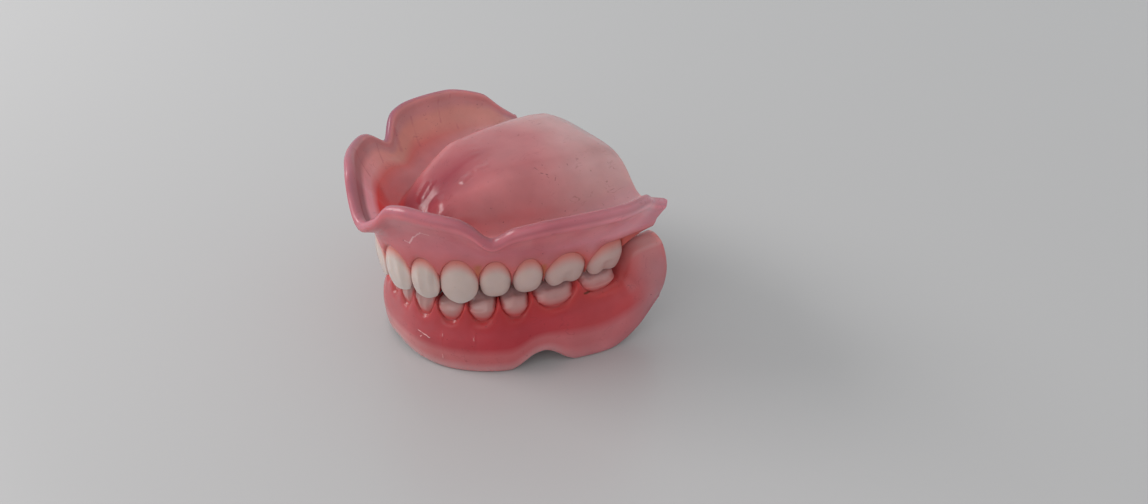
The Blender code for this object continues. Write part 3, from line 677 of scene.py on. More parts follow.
def lower_rows(place):
    """Cross-sections of the lower base: from the flat border up the outer face on a parabola
    through the flange line, over the crest, which goes over into the pad behind the teeth,
    down to the lingual border and back inside."""
    arch = LOWER
    run = arch.along(place)
    lift, stand = follow_line(LOWER_BORDER, place)
    flange, flange_in = follow_line(LOWER_FLANGE, place)
    roof, roof_in = follow_line(LOWER_RIDGE, place)
    tongue, tongue_in = follow_line(LINGUAL_BORDER, place)
    pad, pad_in = follow_line(LOWER_PAD, place)
    radius = LOWER_BORDER_RADIUS
    margin, off = gum_margin(arch, place)
    margin = BITE_HEIGHT - margin - NECK_SHOW * (1 - off**2)
    depth = along_teeth(arch, place, "depth")
    tail = np.clip(place - TEETH_A_SIDE, 0, 1)
    blend = ease(np.clip(tail * PAD_BLEND, 0, 1))
    inset = PAPILLA_INSET * off**INSET_POWER * (1 - tail)
    web = LOWER_WEB * off**WEB_POWER * (1 - tail)
    neck = BITE_HEIGHT - along_teeth(arch, place, "neck")
    root = between(neck - ROOT_RISE, pad - PAD_DROP - PAD_ROOT_DROP, blend)
    root_in = between(-COLLAR, pad_in - PAD_HALF_WIDTH - PAD_ROOT_OUT, blend)
    rows = []
    zones = []

    def side(depth_in, high, zone):
        x, y = arch.point(run, depth_in)
        rows.append((x, y, high))
        zones.append(zone)

    def bead(line_in, line, table):
        for step, rise, zone in table:
            side(line_in + step * radius, line + rise * radius, zone)

    bead(stand, lift, OUTER_BEAD)
    foot_in = stand - radius
    foot = lift + radius
    for share, zone in OUTER_FACE_ROWS:
        curve = 4 * share * (1 - share)
        side(between(foot_in, root_in, share)
             + (flange_in - between(foot_in, root_in, 0.5)) * curve,
             between(foot, root, share) + (flange - between(foot, root, 0.5)) * curve, zone)
    side(between(COLLAR_INSET * inset - COLLAR, pad_in - PAD_HALF_WIDTH, blend),
         between(between(root, margin, COLLAR_HEIGHT), pad - PAD_DROP, blend), "collar")
    for inset_share, depth_share, step, rise, pad_step, pad_rise, web_share, zone in CREST_ROWS:
        side(between(inset_share * inset + depth_share * depth + step, pad_in + pad_step, blend),
             between(margin + rise, pad + pad_rise, blend) + web_share * web, zone)
    inner_in = between(depth + BEHIND_TEETH, pad_in + PAD_HALF_WIDTH, blend)
    even = between(neck, pad - PAD_DROP, blend)
    for share in LINGUAL_SHARES:
        side(between(inner_in, tongue_in + radius, share)
             - LINGUAL_HOLLOW * np.sin(np.pi * share),
             between(even, tongue + radius, share), "inside")
    bead(tongue_in, tongue, TONGUE_BEAD)
    for angle in np.radians(ROOF_ANGLES):
        side(between(roof_in, tongue_in - radius, np.cos(angle) ** WALL_POWER),
             between(tongue + radius, roof, np.sin(angle) ** WALL_POWER), "inside")
    side(roof_in, roof, "inside")
    low_in = stand + radius
    bend = INNER_WALL_BEND * (flange_in + LOWER_WALL - between(low_in, roof_in, 0.5))
    for share in INNER_WALL_SHARES:
        side(between(low_in, roof_in, share) + bend * 4 * share * (1 - share),
             between(foot, roof, share), "inside")
    bead(stand, lift, INNER_BEAD)
    return np.moveaxis(np.array(rows), 2, 0), zones


def smooth_rows(points, steps, closed, ends=None):
    """Smooth curve through the points of each cross-section: cubic pieces whose slope at a
    point is the mean of the two chords there, each weighed by the other chord's length."""
    first, last = ends if ends else (points[:, :1], points[:, -1:])
    if closed:
        first, last = points[:, -1:], points[:, :2]
    loop = np.concatenate([first, points, last], axis=1)
    length = np.linalg.norm(np.diff(loop, axis=1), axis=2, keepdims=True)
    length = np.maximum(length, 0.0001)
    slope = np.diff(loop, axis=1) / length
    before, after = length[:, :-1], length[:, 1:]
    turn = (slope[:, :-1] * after + slope[:, 1:] * before) / (before + after)
    count = points.shape[1] - (0 if closed else 1)
    start, span = loop[:, 1:count + 1], length[:, 1:count + 1]
    stop = loop[:, 2:count + 2]
    turn_stop = turn[:, 1:count + 1]
    turn = turn[:, :count]
    t = (np.arange(steps) / steps)[:, None]
    fine = cubic(t, *(each[:, :, None] for each in (start, stop, span * turn,
                                                    span * turn_stop)))
    fine = fine.reshape(len(points), -1, points.shape[2])
    return fine if closed else np.concatenate([fine, points[:, -1:]], axis=1)


def tint_grid(zones, table, place, steps, closed):
    """Colour of each grid point: the row's colours at the front, the middle, the back and the
    end of the arch, eased from row to row and along the arch."""
    colours = np.array([table[zone] for zone in zones])
    count = len(zones)
    u = np.arange(count * steps) / steps if closed else np.arange((count - 1) * steps + 1) / steps
    if closed:
        colours = np.concatenate([colours, colours[:1]])
    whole = np.minimum(u.astype(int), len(colours) - 2)
    t = (u - whole)[:, None, None]
    across = colours[whole] * (1 - t) + colours[whole + 1] * t
    tint = across[None, :, 0]
    for number, (start, stop) in enumerate(TINT_SPANS):
        share = ease(np.clip((place - start) / (stop - start), 0, 1))[:, None, None]
        tint = tint * (1 - share) + across[None, :, number + 1] * share
    return tint


def end_columns(columns, closed):
    """Columns behind the last, with the wall drawn together on a quarter circle."""
    last = columns[-1]
    count = len(last)
    partner = last[(-np.arange(count)) % count] if closed else last[::-1]
    added = []
    for angle in np.radians(END_ANGLES):
        column = between(last, partner, (1 - np.cos(angle)) / 2)
        column[:, 1] += END_ROUND * np.sin(angle)
        added.append(column)
    return np.concatenate([columns, np.array(added)])


def base_faces(left, right, closed):
    faces = []
    rows = left.shape[1]
    steps = rows if closed else rows - 1
    after = (np.arange(steps) + 1) % rows
    for half, flip in ((left, 1), (right, -1)):
        quads = np.stack([half[:-1, :steps], half[1:, :steps],
                          half[1:][:, after], half[:-1][:, after]], axis=-1).reshape(-1, 4)
        faces += quads[:, ::flip].tolist()
        end = half[-1].tolist()
        last = rows if closed else rows - 1
        for row in range(last // 2):
            ring = [end[row], end[row + 1], end[(last - row - 1) % rows], end[(last - row) % rows]]
            face = list(dict.fromkeys(ring))
            if len(face) > 2:
                faces.append(face[::flip])
    return faces


def make_piece(name, points, faces, tint, centre_y):
    """Mesh from points in millimetres, with a colour at every point."""
    points = np.asarray(points) - (0.0, centre_y, 0.0)
    mesh = bpy.data.meshes.new(name)
    mesh.from_pydata((points * MM).tolist(), [], faces)
    layer = mesh.attributes.new("tint", "FLOAT_COLOR", "POINT")
    rgba = np.ones((len(points), 4), np.float32)
    rgba[:, :3] = np.clip(tint, 0, 1)
    layer.data.foreach_set("color", rgba.ravel())
    body = bmesh.new()
    body.from_mesh(mesh)
    bmesh.ops.remove_doubles(body, verts=body.verts, dist=WELD_DISTANCE)
    bmesh.ops.recalc_face_normals(body, faces=body.faces)
    body.to_mesh(mesh)
    body.free()
    mesh.shade_smooth()
    piece = bpy.data.objects.new(name, mesh)
    bpy.context.scene.collection.objects.link(piece)
    return piece


def column_places():
    count = COLUMNS_A_TOOTH * (TEETH_A_SIDE + 1)
    return np.arange(count + 1) / COLUMNS_A_TOOTH


def make_base(name, halves, zones, tables, closed, centre_y):
    """Fine surface of one base, welded along the midline, with a table of colours a side."""
    place = column_places()
    sides = []
    tints = []
    for half, table in zip(halves, tables):
        half = half.copy()
        half[0, :, 0] = 0.0
        ends = None
        if not closed:
            half[:, (0, -1), 0] = 0.0
            ends = half[:, 1:2] * (-1, 1, 1), half[:, -2:-1] * (-1, 1, 1)
        columns = end_columns(smooth_rows(half, ROW_STEPS, closed, ends), closed)
        tint = tint_grid(zones, table, place, ROW_STEPS, closed)
        tail = np.repeat(tint[-1:], len(columns) - len(tint), axis=0)
        sides.append(columns)
        tints.append(np.concatenate([tint, tail]))
    columns, rows = sides[0].shape[:2]
    mirrored = sides[1][1:] * (-1, 1, 1)
    points = np.concatenate([sides[0].reshape(-1, 3), mirrored.reshape(-1, 3)])
    tints = np.concatenate([tints[0].reshape(-1, 3), tints[1][1:].reshape(-1, 3)])
    left = np.arange(columns * rows).reshape(columns, rows)
    right = np.arange((columns - 1) * rows).reshape(columns - 1, rows) + columns * rows
    right = np.concatenate([left[:1], right])
    return make_piece(name, points, base_faces(left, right, closed), tints, centre_y)


def bite_surface(run, depth):
    """Height, over the bite plane, of the surface that upper and lower teeth share: a wave
    across the arch with a cusp's spacing, which rises between the cusps along the arch."""
    wave = -0.5 * CUSP_HEIGHT * np.cos(2 * np.pi * (depth - CUSP_INSET) / CUSP_SPACING)
    place = np.interp(run, UPPER.marks, np.arange(len(UPPER.marks)))
    number = np.clip(place.astype(int), 0, TEETH_A_SIDE - 1)
    off = np.clip(np.abs(2 * (place - number) - 1), 0, 1)
    premolar = EMBRASURE_RISE * off**2.5
    cusp = np.abs(off - 0.5) / 0.5
    molar = np.where(off > 0.5, EMBRASURE_RISE * cusp**2, GROOVE_RISE * cusp**2)
    rise = np.where(number >= FIRST_MOLAR, molar, premolar)
    canine = UPPER_TEETH[FIRST_PREMOLAR - 1]
    behind = np.maximum(depth - canine.lean - EDGE_THICKNESS, 0)
    under_canine = CANINE_POINT * off**1.5 - canine.reach + 2 * behind
    surface = wave + rise + BITE_CURVE * (place - TEETH_A_SIDE / 2)
    return np.where(place < FIRST_PREMOLAR, np.minimum(under_canine, surface), surface)


def biting_height(arch, run, depth):
    x, y = arch.point(run, depth)
    run, depth = UPPER.measure(x, y)
    surface = bite_surface(run, depth)
    if arch.side < 0:
        for shift in (-CUSP_CLEARANCE, CUSP_CLEARANCE):
            surface = np.minimum(surface, bite_surface(run + shift, depth))
    return arch.side * surface + BITE_GAP / 2


def section(half_width, outer, inner):
    """Rounded cross-section of a tooth: a superellipse between its outer and inner face."""
    across, deep = (np.sign(wave) * np.abs(wave) ** (2 / CROWN_SQUARENESS)
                    for wave in (np.cos(CROWN_ANGLES), np.sin(CROWN_ANGLES)))
    across /= across.max()
    deep /= deep.max()
    widest = outer + (inner - outer) * WIDEST_SHARE
    depth = widest + np.where(deep < 0, widest - outer, inner - widest) * deep
    return half_width * across, depth, across


def widest_half(arch, tooth):
    gap = UPPER_CONTACT_GAP if arch.side > 0 else LOWER_CONTACT_GAP
    return (tooth.width - gap) / 2


def neck_share(arch, up):
    """Width of a crown at a share of its height, against its widest, on a quarter sine."""
    share = UPPER_NECK_WIDTH if arch.side > 0 else LOWER_NECK_WIDTH
    return between(share, 1.0, np.sin(np.pi / 2 * min(up / WIDEST_HEIGHT, 1.0)))


def front_rings(arch, tooth):
    """Rings of an incisor or canine from the buried end to the edge. The outer face has two
    shallow grooves between lobes on an incisor, and one soft bulge on a canine."""
    pointed = tooth.form == "canine"
    taper = CANINE_TAPER if pointed else INCISOR_TAPER
    rings = []
    full = widest_half(arch, tooth)
    for share in FRONT_RINGS:
        up = max(share, 0.0)
        over = max((up - TAPER_START) / (1 - TAPER_START), 0.0)
        width = full * neck_share(arch, up) - full * taper * over**2
        out = NECK_SET_BACK * (1 - min(up / NECK_CURVE_END, 1.0)) ** 2
        out += tooth.lean * (max(up - NECK_CURVE_END, 0.0) / (1 - NECK_CURVE_END)) ** LEAN_POWER
        edge = tooth.lean + EDGE_THICKNESS
        inner = edge + (tooth.depth - edge) * (1 - up) ** BACK_FACE_POWER
        high = tooth.neck - (tooth.neck + tooth.reach) * up
        if share == 1.0:
            width *= EDGE_WIDTH
            out += EDGE_INSET
            inner -= EDGE_INSET
        if share < 0:
            high = tooth.neck + ROOT_DEPTH
        across, deep, part = section(width, out, inner)
        face = np.clip((tooth.depth * LOBES_DEPTH - deep) / LOBES_FADE, 0, 1)
        lobes = -CANINE_BULGE * np.cos(np.pi * part)
        if not pointed:
            lobes = INCISOR_LOBES * np.cos(3 * np.pi * part)
        deep = deep + lobes * face * np.sin(np.pi * min(up, LOBES_TOP)) ** 1.5
        rise = (CANINE_POINT if pointed else CORNER_RISE) * np.abs(part) ** 1.5
        rings.append((across, deep, high + rise * up**3, up))
    return rings


def back_rings(arch, tooth, middle):
    """Rings of a premolar or molar, from the buried end over the cusps to the middle of the
    biting face, with a groove down the outer face of a molar between its cusps."""
    rings = []
    full = widest_half(arch, tooth)
    for share in BACK_RINGS:
        up = max(share, 0.0)
        set_back = NECK_SET_BACK * (1 - min(up / BACK_NECK_CURVE_END, 1.0)) ** 2
        high = tooth.neck + ROOT_DEPTH if share < 0 else tooth.neck * (1 - up)
        across, deep, part = section(full * neck_share(arch, up), set_back,
                                     tooth.depth - set_back)
        rings.append((across, deep, high + 0 * part, up))
    for width_share, inset, lift, up in CUSP_RINGS:
        across, deep, part = section(full * width_share, inset, tooth.depth - inset)
        bite = biting_height(arch, middle + across, deep)
        room = np.maximum(tooth.neck * CUSP_TOP_SHARE - bite, LEAST_LIFT)
        high = bite + lift * np.minimum(room / FULL_LIFT, 1.0)
        if tooth.form == "molar" and lift > 0:
            groove = np.exp(-(part / MOLAR_GROOVE_WIDTH) ** 2) * (deep < tooth.depth / 2)
            deep = deep + MOLAR_GROOVE_DEPTH * groove
        rings.append((across, deep, high, up))
    return rings


def make_tooth(arch, arch_name, number, side_name, mirror, colours, centre_y):
    """One tooth with its colours: stained at the neck and sides, clear body, greyer edge."""
    tooth = arch.teeth[number]
    middle = arch.marks[number] + tooth.width / 2
    if tooth.form in ("incisor", "canine"):
        rings = front_rings(arch, tooth)
    else:
        rings = back_rings(arch, tooth, middle)
    points = []
    ups = []
    for across, deep, high, up in rings:
        x, y = arch.point(middle + across, deep)
        points.append(np.stack([x, y, arch.height(high)], axis=-1))
        ups.append(up)
    columns = np.moveaxis(np.array(points), 1, 0)
    fine = np.moveaxis(smooth_rows(columns, RING_STEPS, False), 1, 0)
    count = len(ups)
    up = np.interp(np.arange((count - 1) * RING_STEPS + 1) / RING_STEPS, np.arange(count), ups)
    neck, body, edge = (np.array(colour[:3]) for colour in colours)
    run = arch.measure(fine[..., 0], fine[..., 1])[0]
    margin = gum_margin(arch, np.interp(run, arch.marks, np.arange(len(arch.marks))))[0]
    below = margin - arch.side * (fine[..., 2] - BITE_HEIGHT)
    at_neck = np.clip(1 - below / NECK_FADE, 0, 1)[..., None] ** NECK_FADE_POWER
    at_edge = np.clip((up - EDGE_START) / (1 - EDGE_START), 0, 1)[:, None, None] ** EDGE_POWER
    at_side = SIDE_STAIN * np.abs(np.cos(CROWN_ANGLES))[None, :, None] ** 6
    stain = np.clip(at_neck + at_side * (1 - at_edge), 0, 1)
    tint = between(between(body, edge, at_edge), neck, stain)
    rows = len(fine)
    grid = fine.reshape(-1, 3)
    ends = np.array([fine[0].mean(axis=0), fine[-1].mean(axis=0)])
    points = np.concatenate([grid, ends])
    points[:, 0] *= mirror
    tints = np.concatenate([tint.reshape(-1, 3), [tint[0, 0], tint[-1, 0]]])
    index = np.arange(rows * TOOTH_SIDES).reshape(rows, TOOTH_SIDES)
    after = np.roll(index, -1, axis=1)
    corners = index[:-1], after[:-1], after[1:], index[1:]
    faces = np.stack(corners, axis=-1).reshape(-1, 4).tolist()
    root, tip = len(grid), len(grid) + 1
    faces += [[b, a, root] for a, b in zip(index[0].tolist(), after[0].tolist())]
    faces += [[a, b, tip] for a, b in zip(index[-1].tolist(), after[-1].tolist())]
    name = "_".join((arch_name, side_name, tooth.name))
    piece = make_piece(name + "_crown", points, faces, tints, centre_y)
    return piece, name


def plug(tree, made, sockets):
    """Give the sockets of a node, by name or in order, a value or a link from an output."""
    for key, value in sockets.items() if isinstance(sockets, dict) else enumerate(sockets):
        if isinstance(value, bpy.types.NodeSocket):
            tree.links.new(value, made.inputs[key])
        else:
            made.inputs[key].default_value = value


def node(tree, kind, place, sockets=(), **settings):
    """Add a node with its settings and sockets, and return its outputs."""
    made = tree.nodes.new(kind if kind.startswith("NodeGroup") else "ShaderNode" + kind)
    made.location = place
    for key, value in settings.items():
        setattr(made, key, value)
    plug(tree, made, sockets)
    return made.outputs


def new_group(name, inputs, outputs):
    """Empty shader group with named sockets, and the outputs of its input node."""
    tree = bpy.data.node_groups.new(name, "ShaderNodeTree")
    for way, sockets in (("INPUT", inputs), ("OUTPUT", outputs)):
        for socket, kind in sockets.items():
            tree.interface.new_socket(socket, in_out=way, socket_type="NodeSocket" + kind)
    return tree, node(tree, "NodeGroupInput", (-1200, 0))


def mottle_group():
    """Shader group: tints a colour with soft cloudy patches, scattered short fibres and tiny
    specks, all from Object coordinates, and gives a matching roughness and height. A fibre
    lies where a stretched noise crosses its middle value, inside the patches of another."""
    if "acrylic_mottle" in bpy.data.node_groups:
        return bpy.data.node_groups["acrylic_mottle"]
    tree, given = new_group(
        "acrylic_mottle",
        {"Colour": "Color", "Cloud Size": "Float", "Cloud Strength": "Float",
         "Fibres": "Float", "Fibre Colour": "Color", "Specks": "Float",
         "Gloss Roughness": "Float"},
        {"Colour": "Color", "Roughness": "Float", "Height": "Float"})

    def maths(place, operation, *values):
        return node(tree, "Math", place, values, operation=operation)["Value"]

    def noise(place, **sockets):
        return node(tree, "TexNoise", place, sockets)["Fac"]

    def ramp(place, *values):
        return node(tree, "MapRange", place, values)["Result"]

    def mix(place, factor, first, second):
        return node(tree, "Mix", place, {"Factor": factor, "A": first, "B": second},
                    data_type="RGBA")["Result"]

    where = node(tree, "TexCoord", (-1200, -400))["Object"]
    cloud = noise((-900, 200), Vector=where, Scale=given["Cloud Size"], Detail=3.0)
    shade = maths((-520, 200), "SUBTRACT", ramp((-700, 200), cloud, *CLOUD_LEVELS), 0.5)
    amount = maths((-340, 200), "MULTIPLY_ADD", shade, given["Cloud Strength"], 1.0)
    clouded = node(tree, "VectorMath", (-160, 120), {0: given["Colour"], "Scale": amount},
                   operation="SCALE")["Vector"]
    stretched = node(tree, "Mapping", (-900, -250),
                     {"Vector": where, "Rotation": FIBRE_TURN,
                      "Scale": FIBRE_STRETCH})["Vector"]
    strand = noise((-700, -250), Vector=stretched, Scale=FIBRE_SCALE, Detail=2.0,
                   Distortion=0.6)
    off_line = maths((-340, -250), "ABSOLUTE", maths((-520, -250), "SUBTRACT", strand, 0.5))
    thin = ramp((-160, -250), off_line, 0.0, FIBRE_WIDTH, 1.0, 0.0)
    patch = noise((-700, -520), Vector=where, Scale=FIBRE_PATCH_SCALE)
    fibre = maths((20, -300), "MULTIPLY", thin,
                  ramp((-520, -520), patch, *FIBRE_PATCH_LEVELS))
    with_fibres = mix((400, 0), maths((200, -300), "MULTIPLY", fibre, given["Fibres"]),
                      clouded, given["Fibre Colour"])
    grain = noise((-160, -700), Vector=where, Scale=SPECK_SCALE)
    speck = maths((200, -700), "MULTIPLY", ramp((20, -700), grain, *SPECK_LEVELS),
                  given["Specks"])
    node(tree, "NodeGroupOutput", (900, 0), {
        "Colour": mix((600, 0), speck, with_fibres, SPECK_COLOUR),
        "Roughness": maths((400, 300), "MULTIPLY_ADD", shade, CLOUD_ROUGHNESS,
                           given["Gloss Roughness"]),
        "Height": grain})
    return tree


def mark_group():
    """Shader group: mask of a soft line with round ends between two points in Object
    coordinates, 1 on the line and 0 from the radius outwards, wavered by a noise. Its
    distance is the one to the nearest point of the line, found by a clamped projection."""
    if "line_mark" in bpy.data.node_groups:
        return bpy.data.node_groups["line_mark"]
    tree, given = new_group(
        "line_mark",
        {"Start": "Vector", "End": "Vector", "Radius": "Float", "Strength": "Float"},
        {"Mask": "Float"})

    def vector(place, operation, first, second, output="Vector"):
        second_socket = "Scale" if operation == "SCALE" else 1
        return node(tree, "VectorMath", place, {0: first, second_socket: second},
                    operation=operation)[output]

    where = node(tree, "TexCoord", (-1200, -300))["Object"]
    noise = node(tree, "TexNoise", (-1000, -450),
                 {"Vector": where, "Scale": MARK_WAVER_SCALE})["Color"]
    centred = vector((-820, -450), "SUBTRACT", noise, (0.5, 0.5, 0.5))
    waver = vector((-640, -450), "SCALE", centred, MARK_WAVER)
    point = vector((-460, -300), "ADD", where, waver)
    away = vector((-280, -200), "SUBTRACT", point, given["Start"])
    run = vector((-460, 0), "SUBTRACT", given["End"], given["Start"])
    along = vector((-100, -100), "DOT_PRODUCT", away, run, "Value")
    square = vector((-100, 60), "DOT_PRODUCT", run, run, "Value")
    share = node(tree, "Math", (80, 0), (along, square), operation="DIVIDE",
                 use_clamp=True)["Value"]
    foot = vector((260, 0), "SCALE", run, share)
    gap = vector((440, -100), "DISTANCE", away, foot, "Value")
    mask = node(tree, "MapRange", (620, 0),
                (gap, 0.0, given["Radius"], given["Strength"], 0.0),
                interpolation_type="SMOOTHSTEP")["Result"]
    node(tree, "NodeGroupOutput", (900, 0), {"Mask": mask})
    return tree


def line_mark(tree, start, end, radius, strength):
    """Mask of one line mark, its ends and radius in millimetres."""
    return node(tree, "Group", (0, -600), node_tree=mark_group(), sockets={
        "Start": tuple(value * MM for value in start),
        "End": tuple(value * MM for value in end),
        "Radius": radius * MM, "Strength": strength})["Mask"]


def add_marks(material, stains, ridges):
    """Colour a material's stains over its tint and raise its ridges in its relief."""
    tree = material.node_tree
    shader = tree.nodes["Principled BSDF"]
    colour = shader.inputs["Base Color"].links[0].from_socket
    fine = shader.inputs["Normal"].links[0].from_socket
    for *line, shade in stains:
        colour = node(tree, "Mix", (200, -600),
                      {"Factor": line_mark(tree, *line), "A": colour, "B": shade},
                      data_type="RGBA")["Result"]
    height = line_mark(tree, *ridges[0])
    for line in ridges[1:]:
        height = node(tree, "Math", (200, -900), (height, line_mark(tree, *line)),
                      operation="MAXIMUM")["Value"]
    relief = node(tree, "Bump", (-100, -300),
                  {"Distance": MM, "Height": height, "Normal": fine})["Normal"]
    plug(tree, shader, {"Base Color": colour, "Normal": relief})


def dressed_material(name, finish, roughness, scatter, scatter_depth, fibres=0.0):
    """Glossy plastic that takes its colour from the piece's tint and the mottle group."""
    made = bpy.data.materials.new(name)
    made.use_nodes = True
    tree = made.node_tree
    tint = node(tree, "Attribute", (-900, 100), attribute_name="tint")["Color"]
    mottle = node(tree, "Group", (-600, 100), node_tree=mottle_group(), sockets={
        "Colour": tint, "Cloud Size": finish.cloud_size,
        "Cloud Strength": finish.cloud_strength, "Fibres": fibres,
        "Fibre Colour": FIBRE_COLOUR, "Specks": finish.specks, "Gloss Roughness": roughness})
    relief = node(tree, "Bump", (-300, -200),
                  {"Strength": finish.relief, "Distance": RELIEF_DEPTH,
                   "Height": mottle["Height"]})["Normal"]
    plug(tree, tree.nodes["Principled BSDF"], {
        "Base Color": mottle["Colour"], "Roughness": mottle["Roughness"], "Normal": relief,
        "IOR": ACRYLIC_IOR, "Specular IOR Level": finish.sheen, "Subsurface Weight": scatter,
        "Subsurface Scale": scatter_depth, "Subsurface Radius": finish.travel})
    return made


class DentureAcrylic(bpy.types.PropertyGroup):
    """Finish of the two acrylic bases."""
    roughness: bpy.props.FloatProperty(
        name="Gloss roughness", description="Roughness of the polished acrylic",
        default=0.2, min=0.0, max=1.0, subtype="FACTOR")
    scatter: bpy.props.FloatProperty(
        name="Scatter", description="Share of light that scatters inside the acrylic",
        default=0.6, min=0.0, max=1.0, subtype="FACTOR")
    scatter_depth: bpy.props.FloatProperty(
        name="Scatter depth", description="How far light travels inside the acrylic",
        default=0.003, min=0.0, max=0.02, unit="LENGTH")
    fibres: bpy.props.FloatProperty(
        name="Fibres", description="Strength of the fine dark fibres in the acrylic",
        default=0.35, min=0.0, max=1.0, subtype="FACTOR")


class DentureTeeth(bpy.types.PropertyGroup):
    """Colours and finish of the teeth."""
    upper_front: bpy.props.FloatVectorProperty(
        name="Upper front", description="Main colour of the upper front teeth", size=4,
        default=(0.55, 0.458, 0.418, 1.0), min=0.0, max=1.0, subtype="COLOR")
    upper_back: bpy.props.FloatVectorProperty(
        name="Upper back", description="Main colour of the last upper molars", size=4,
        default=(0.54, 0.36, 0.335, 1.0), min=0.0, max=1.0, subtype="COLOR")
    # The two lower colours are painted darker and redder than the upper ones: painted shade and a
    # painted red bounce from the base
    lower_front_shaded: bpy.props.FloatVectorProperty(
        name="Lower front", description="Main colour of the lower front teeth", size=4,
        default=(0.375, 0.20, 0.185, 1.0), min=0.0, max=1.0, subtype="COLOR")
    lower_back_shaded: bpy.props.FloatVectorProperty(
        name="Lower back", description="Main colour of the last lower molars", size=4,
        default=(0.49, 0.25, 0.24, 1.0), min=0.0, max=1.0, subtype="COLOR")
    neck: bpy.props.FloatVectorProperty(
        name="Upper neck", description="Colour where gum shines through an upper neck", size=4,
        default=(0.62, 0.18, 0.15, 1.0), min=0.0, max=1.0, subtype="COLOR")
    lower_neck: bpy.props.FloatVectorProperty(
        name="Lower neck", description="Colour where gum shines through a lower neck", size=4,
        default=(0.52, 0.09, 0.09, 1.0), min=0.0, max=1.0, subtype="COLOR")
    roughness: bpy.props.FloatProperty(
        name="Gloss roughness", description="Roughness of the polished teeth",
        default=0.13, min=0.0, max=1.0, subtype="FACTOR")
    scatter: bpy.props.FloatProperty(
        name="Scatter", description="Share of light that scatters inside a tooth",
        default=0.5, min=0.0, max=1.0, subtype="FACTOR")
    scatter_depth: bpy.props.FloatProperty(
        name="Scatter depth", description="How far light travels inside a tooth",
        default=0.0022, min=0.0, max=0.02, unit="LENGTH")


class DentureStage(bpy.types.PropertyGroup):
    """Floor and lamps."""
    floor_colour: bpy.props.FloatVectorProperty(
        name="Floor", description="Colour of the pale glossy table", size=4,
        default=(0.455, 0.45, 0.452, 1.0), min=0.0, max=1.0, subtype="COLOR")
    sky: bpy.props.FloatProperty(
        name="Sky", description="Strength of the even light from all round",
        default=0.74, min=0.0, max=5.0)
    key_power: bpy.props.FloatProperty(
        name="Key", description="Power of the large soft lamp before the teeth",
        default=3.4, min=0.0, max=50.0, unit="POWER")
    fill_power: bpy.props.FloatProperty(
        name="Fill", description="Power of the wide lamp beside the camera",
        default=0.8, min=0.0, max=50.0, unit="POWER")
    spark_power: bpy.props.FloatProperty(
        name="Spark", description="Power of the small lamp that gives the gloss its glints",
        default=0.08, min=0.0, max=50.0, unit="POWER")


def place_on_set(piece, node_name):
    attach(piece, BODY)
    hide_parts(node_name)


def set_centre():
    """Distance from the arch's own origin to the middle of the set's length."""
    place = column_places()
    lengths = [upper_rows(place, side)[0][..., 1] for side in (LEFT_SIDE, RIGHT_SIDE)]
    lengths.append(lower_rows(place)[0][..., 1])
    lengths = np.concatenate([each.ravel() for each in lengths])
    return (lengths.min() + lengths.max() + END_ROUND) / 2


def dress_base(piece, material_name, finish, stains, ridges, node_name):
    """Give a base its marked acrylic and its place on the set."""
    look = bpy.context.scene.denture_acrylic
    acrylic = dressed_material(material_name, finish, look.roughness, look.scatter,
                               look.scatter_depth, look.fibres)
    add_marks(acrylic, stains, ridges)
    piece.data.materials.append(acrylic)
    place_on_set(piece, node_name)


class DENTURE_OT_upper_base(bpy.types.Operator):
    """Make the upper acrylic base"""
    bl_idname = "denture.upper_base"
    bl_label = "Upper base"

    def execute(self, context):
        place = column_places()
        left, zones = upper_rows(place, LEFT_SIDE)
        right = upper_rows(place, RIGHT_SIDE)[0]
        piece = make_base("upper_acrylic_base", (left, right), zones,
                          (UPPER_TINT_ROWS, UPPER_RIGHT_TINT_ROWS), False, set_centre())
        dress_base(piece, "upper_pink_acrylic", UPPER_FINISH, UPPER_STAINS, UPPER_RIDGES,
                   "upper_base")
        return {"FINISHED"}


class DENTURE_OT_lower_base(bpy.types.Operator):
    """Make the lower acrylic base"""
    bl_idname = "denture.lower_base"
    bl_label = "Lower base"

    def execute(self, context):
        half, zones = lower_rows(column_places())
        piece = make_base("lower_acrylic_base", (half, half), zones,
                          (LOWER_TINT_ROWS, LOWER_TINT_ROWS), True, set_centre())
        dress_base(piece, "lower_red_acrylic", LOWER_FINISH, LOWER_STAINS, LOWER_RIDGES,
                   "lower_base")
        return {"FINISHED"}


class DENTURE_OT_teeth(bpy.types.Operator):
    """Make the teeth of both arches"""
    bl_idname = "denture.teeth"
    bl_label = "Teeth"

    def execute(self, context):
        look = context.scene.denture_teeth
        centre_y = set_centre()
        # The lower colours hold painted shade and a painted red bounce from the base
        for arch, arch_name, front, back, neck in (
                (UPPER, "upper", look.upper_front, look.upper_back, look.neck),
                (LOWER, "lower", look.lower_front_shaded, look.lower_back_shaded, look.lower_neck)):
            enamel = dressed_material(arch_name + "_tooth_acrylic", TOOTH_FINISH,
                                      look.roughness, look.scatter, look.scatter_depth)
            front, back = np.array(front), np.array(back)
            for side_name, mirror in (("left", 1), ("right", -1)):
                for number in range(TEETH_A_SIDE):
                    share = number / (TEETH_A_SIDE - 1)
                    body = between(front, back, share**BACK_TINT_POWER)
                    colours = neck, body, body * EDGE_SHADE
                    piece, name = make_tooth(arch, arch_name, number, side_name, mirror,
                                             colours, centre_y)
                    piece.data.materials.append(enamel)
                    place_on_set(piece, name)
        return {"FINISHED"}


# Camera: bearing and height angle in degrees, distance in metres from the point it looks
# at, lens in millimetres, roll in degrees, sensor in millimetres, and nearest view in metres
CAMERA_BEARING = 53.014
CAMERA_HEIGHT = 32.809
CAMERA_DISTANCE = 0.2066
CAMERA_TARGET = (0.0, 0.025607, 0.006217)
CAMERA_LENS = 26.205
CAMERA_ROLL = 1.364
SENSOR_WIDTH = 36.0
CLIP_START = 0.005

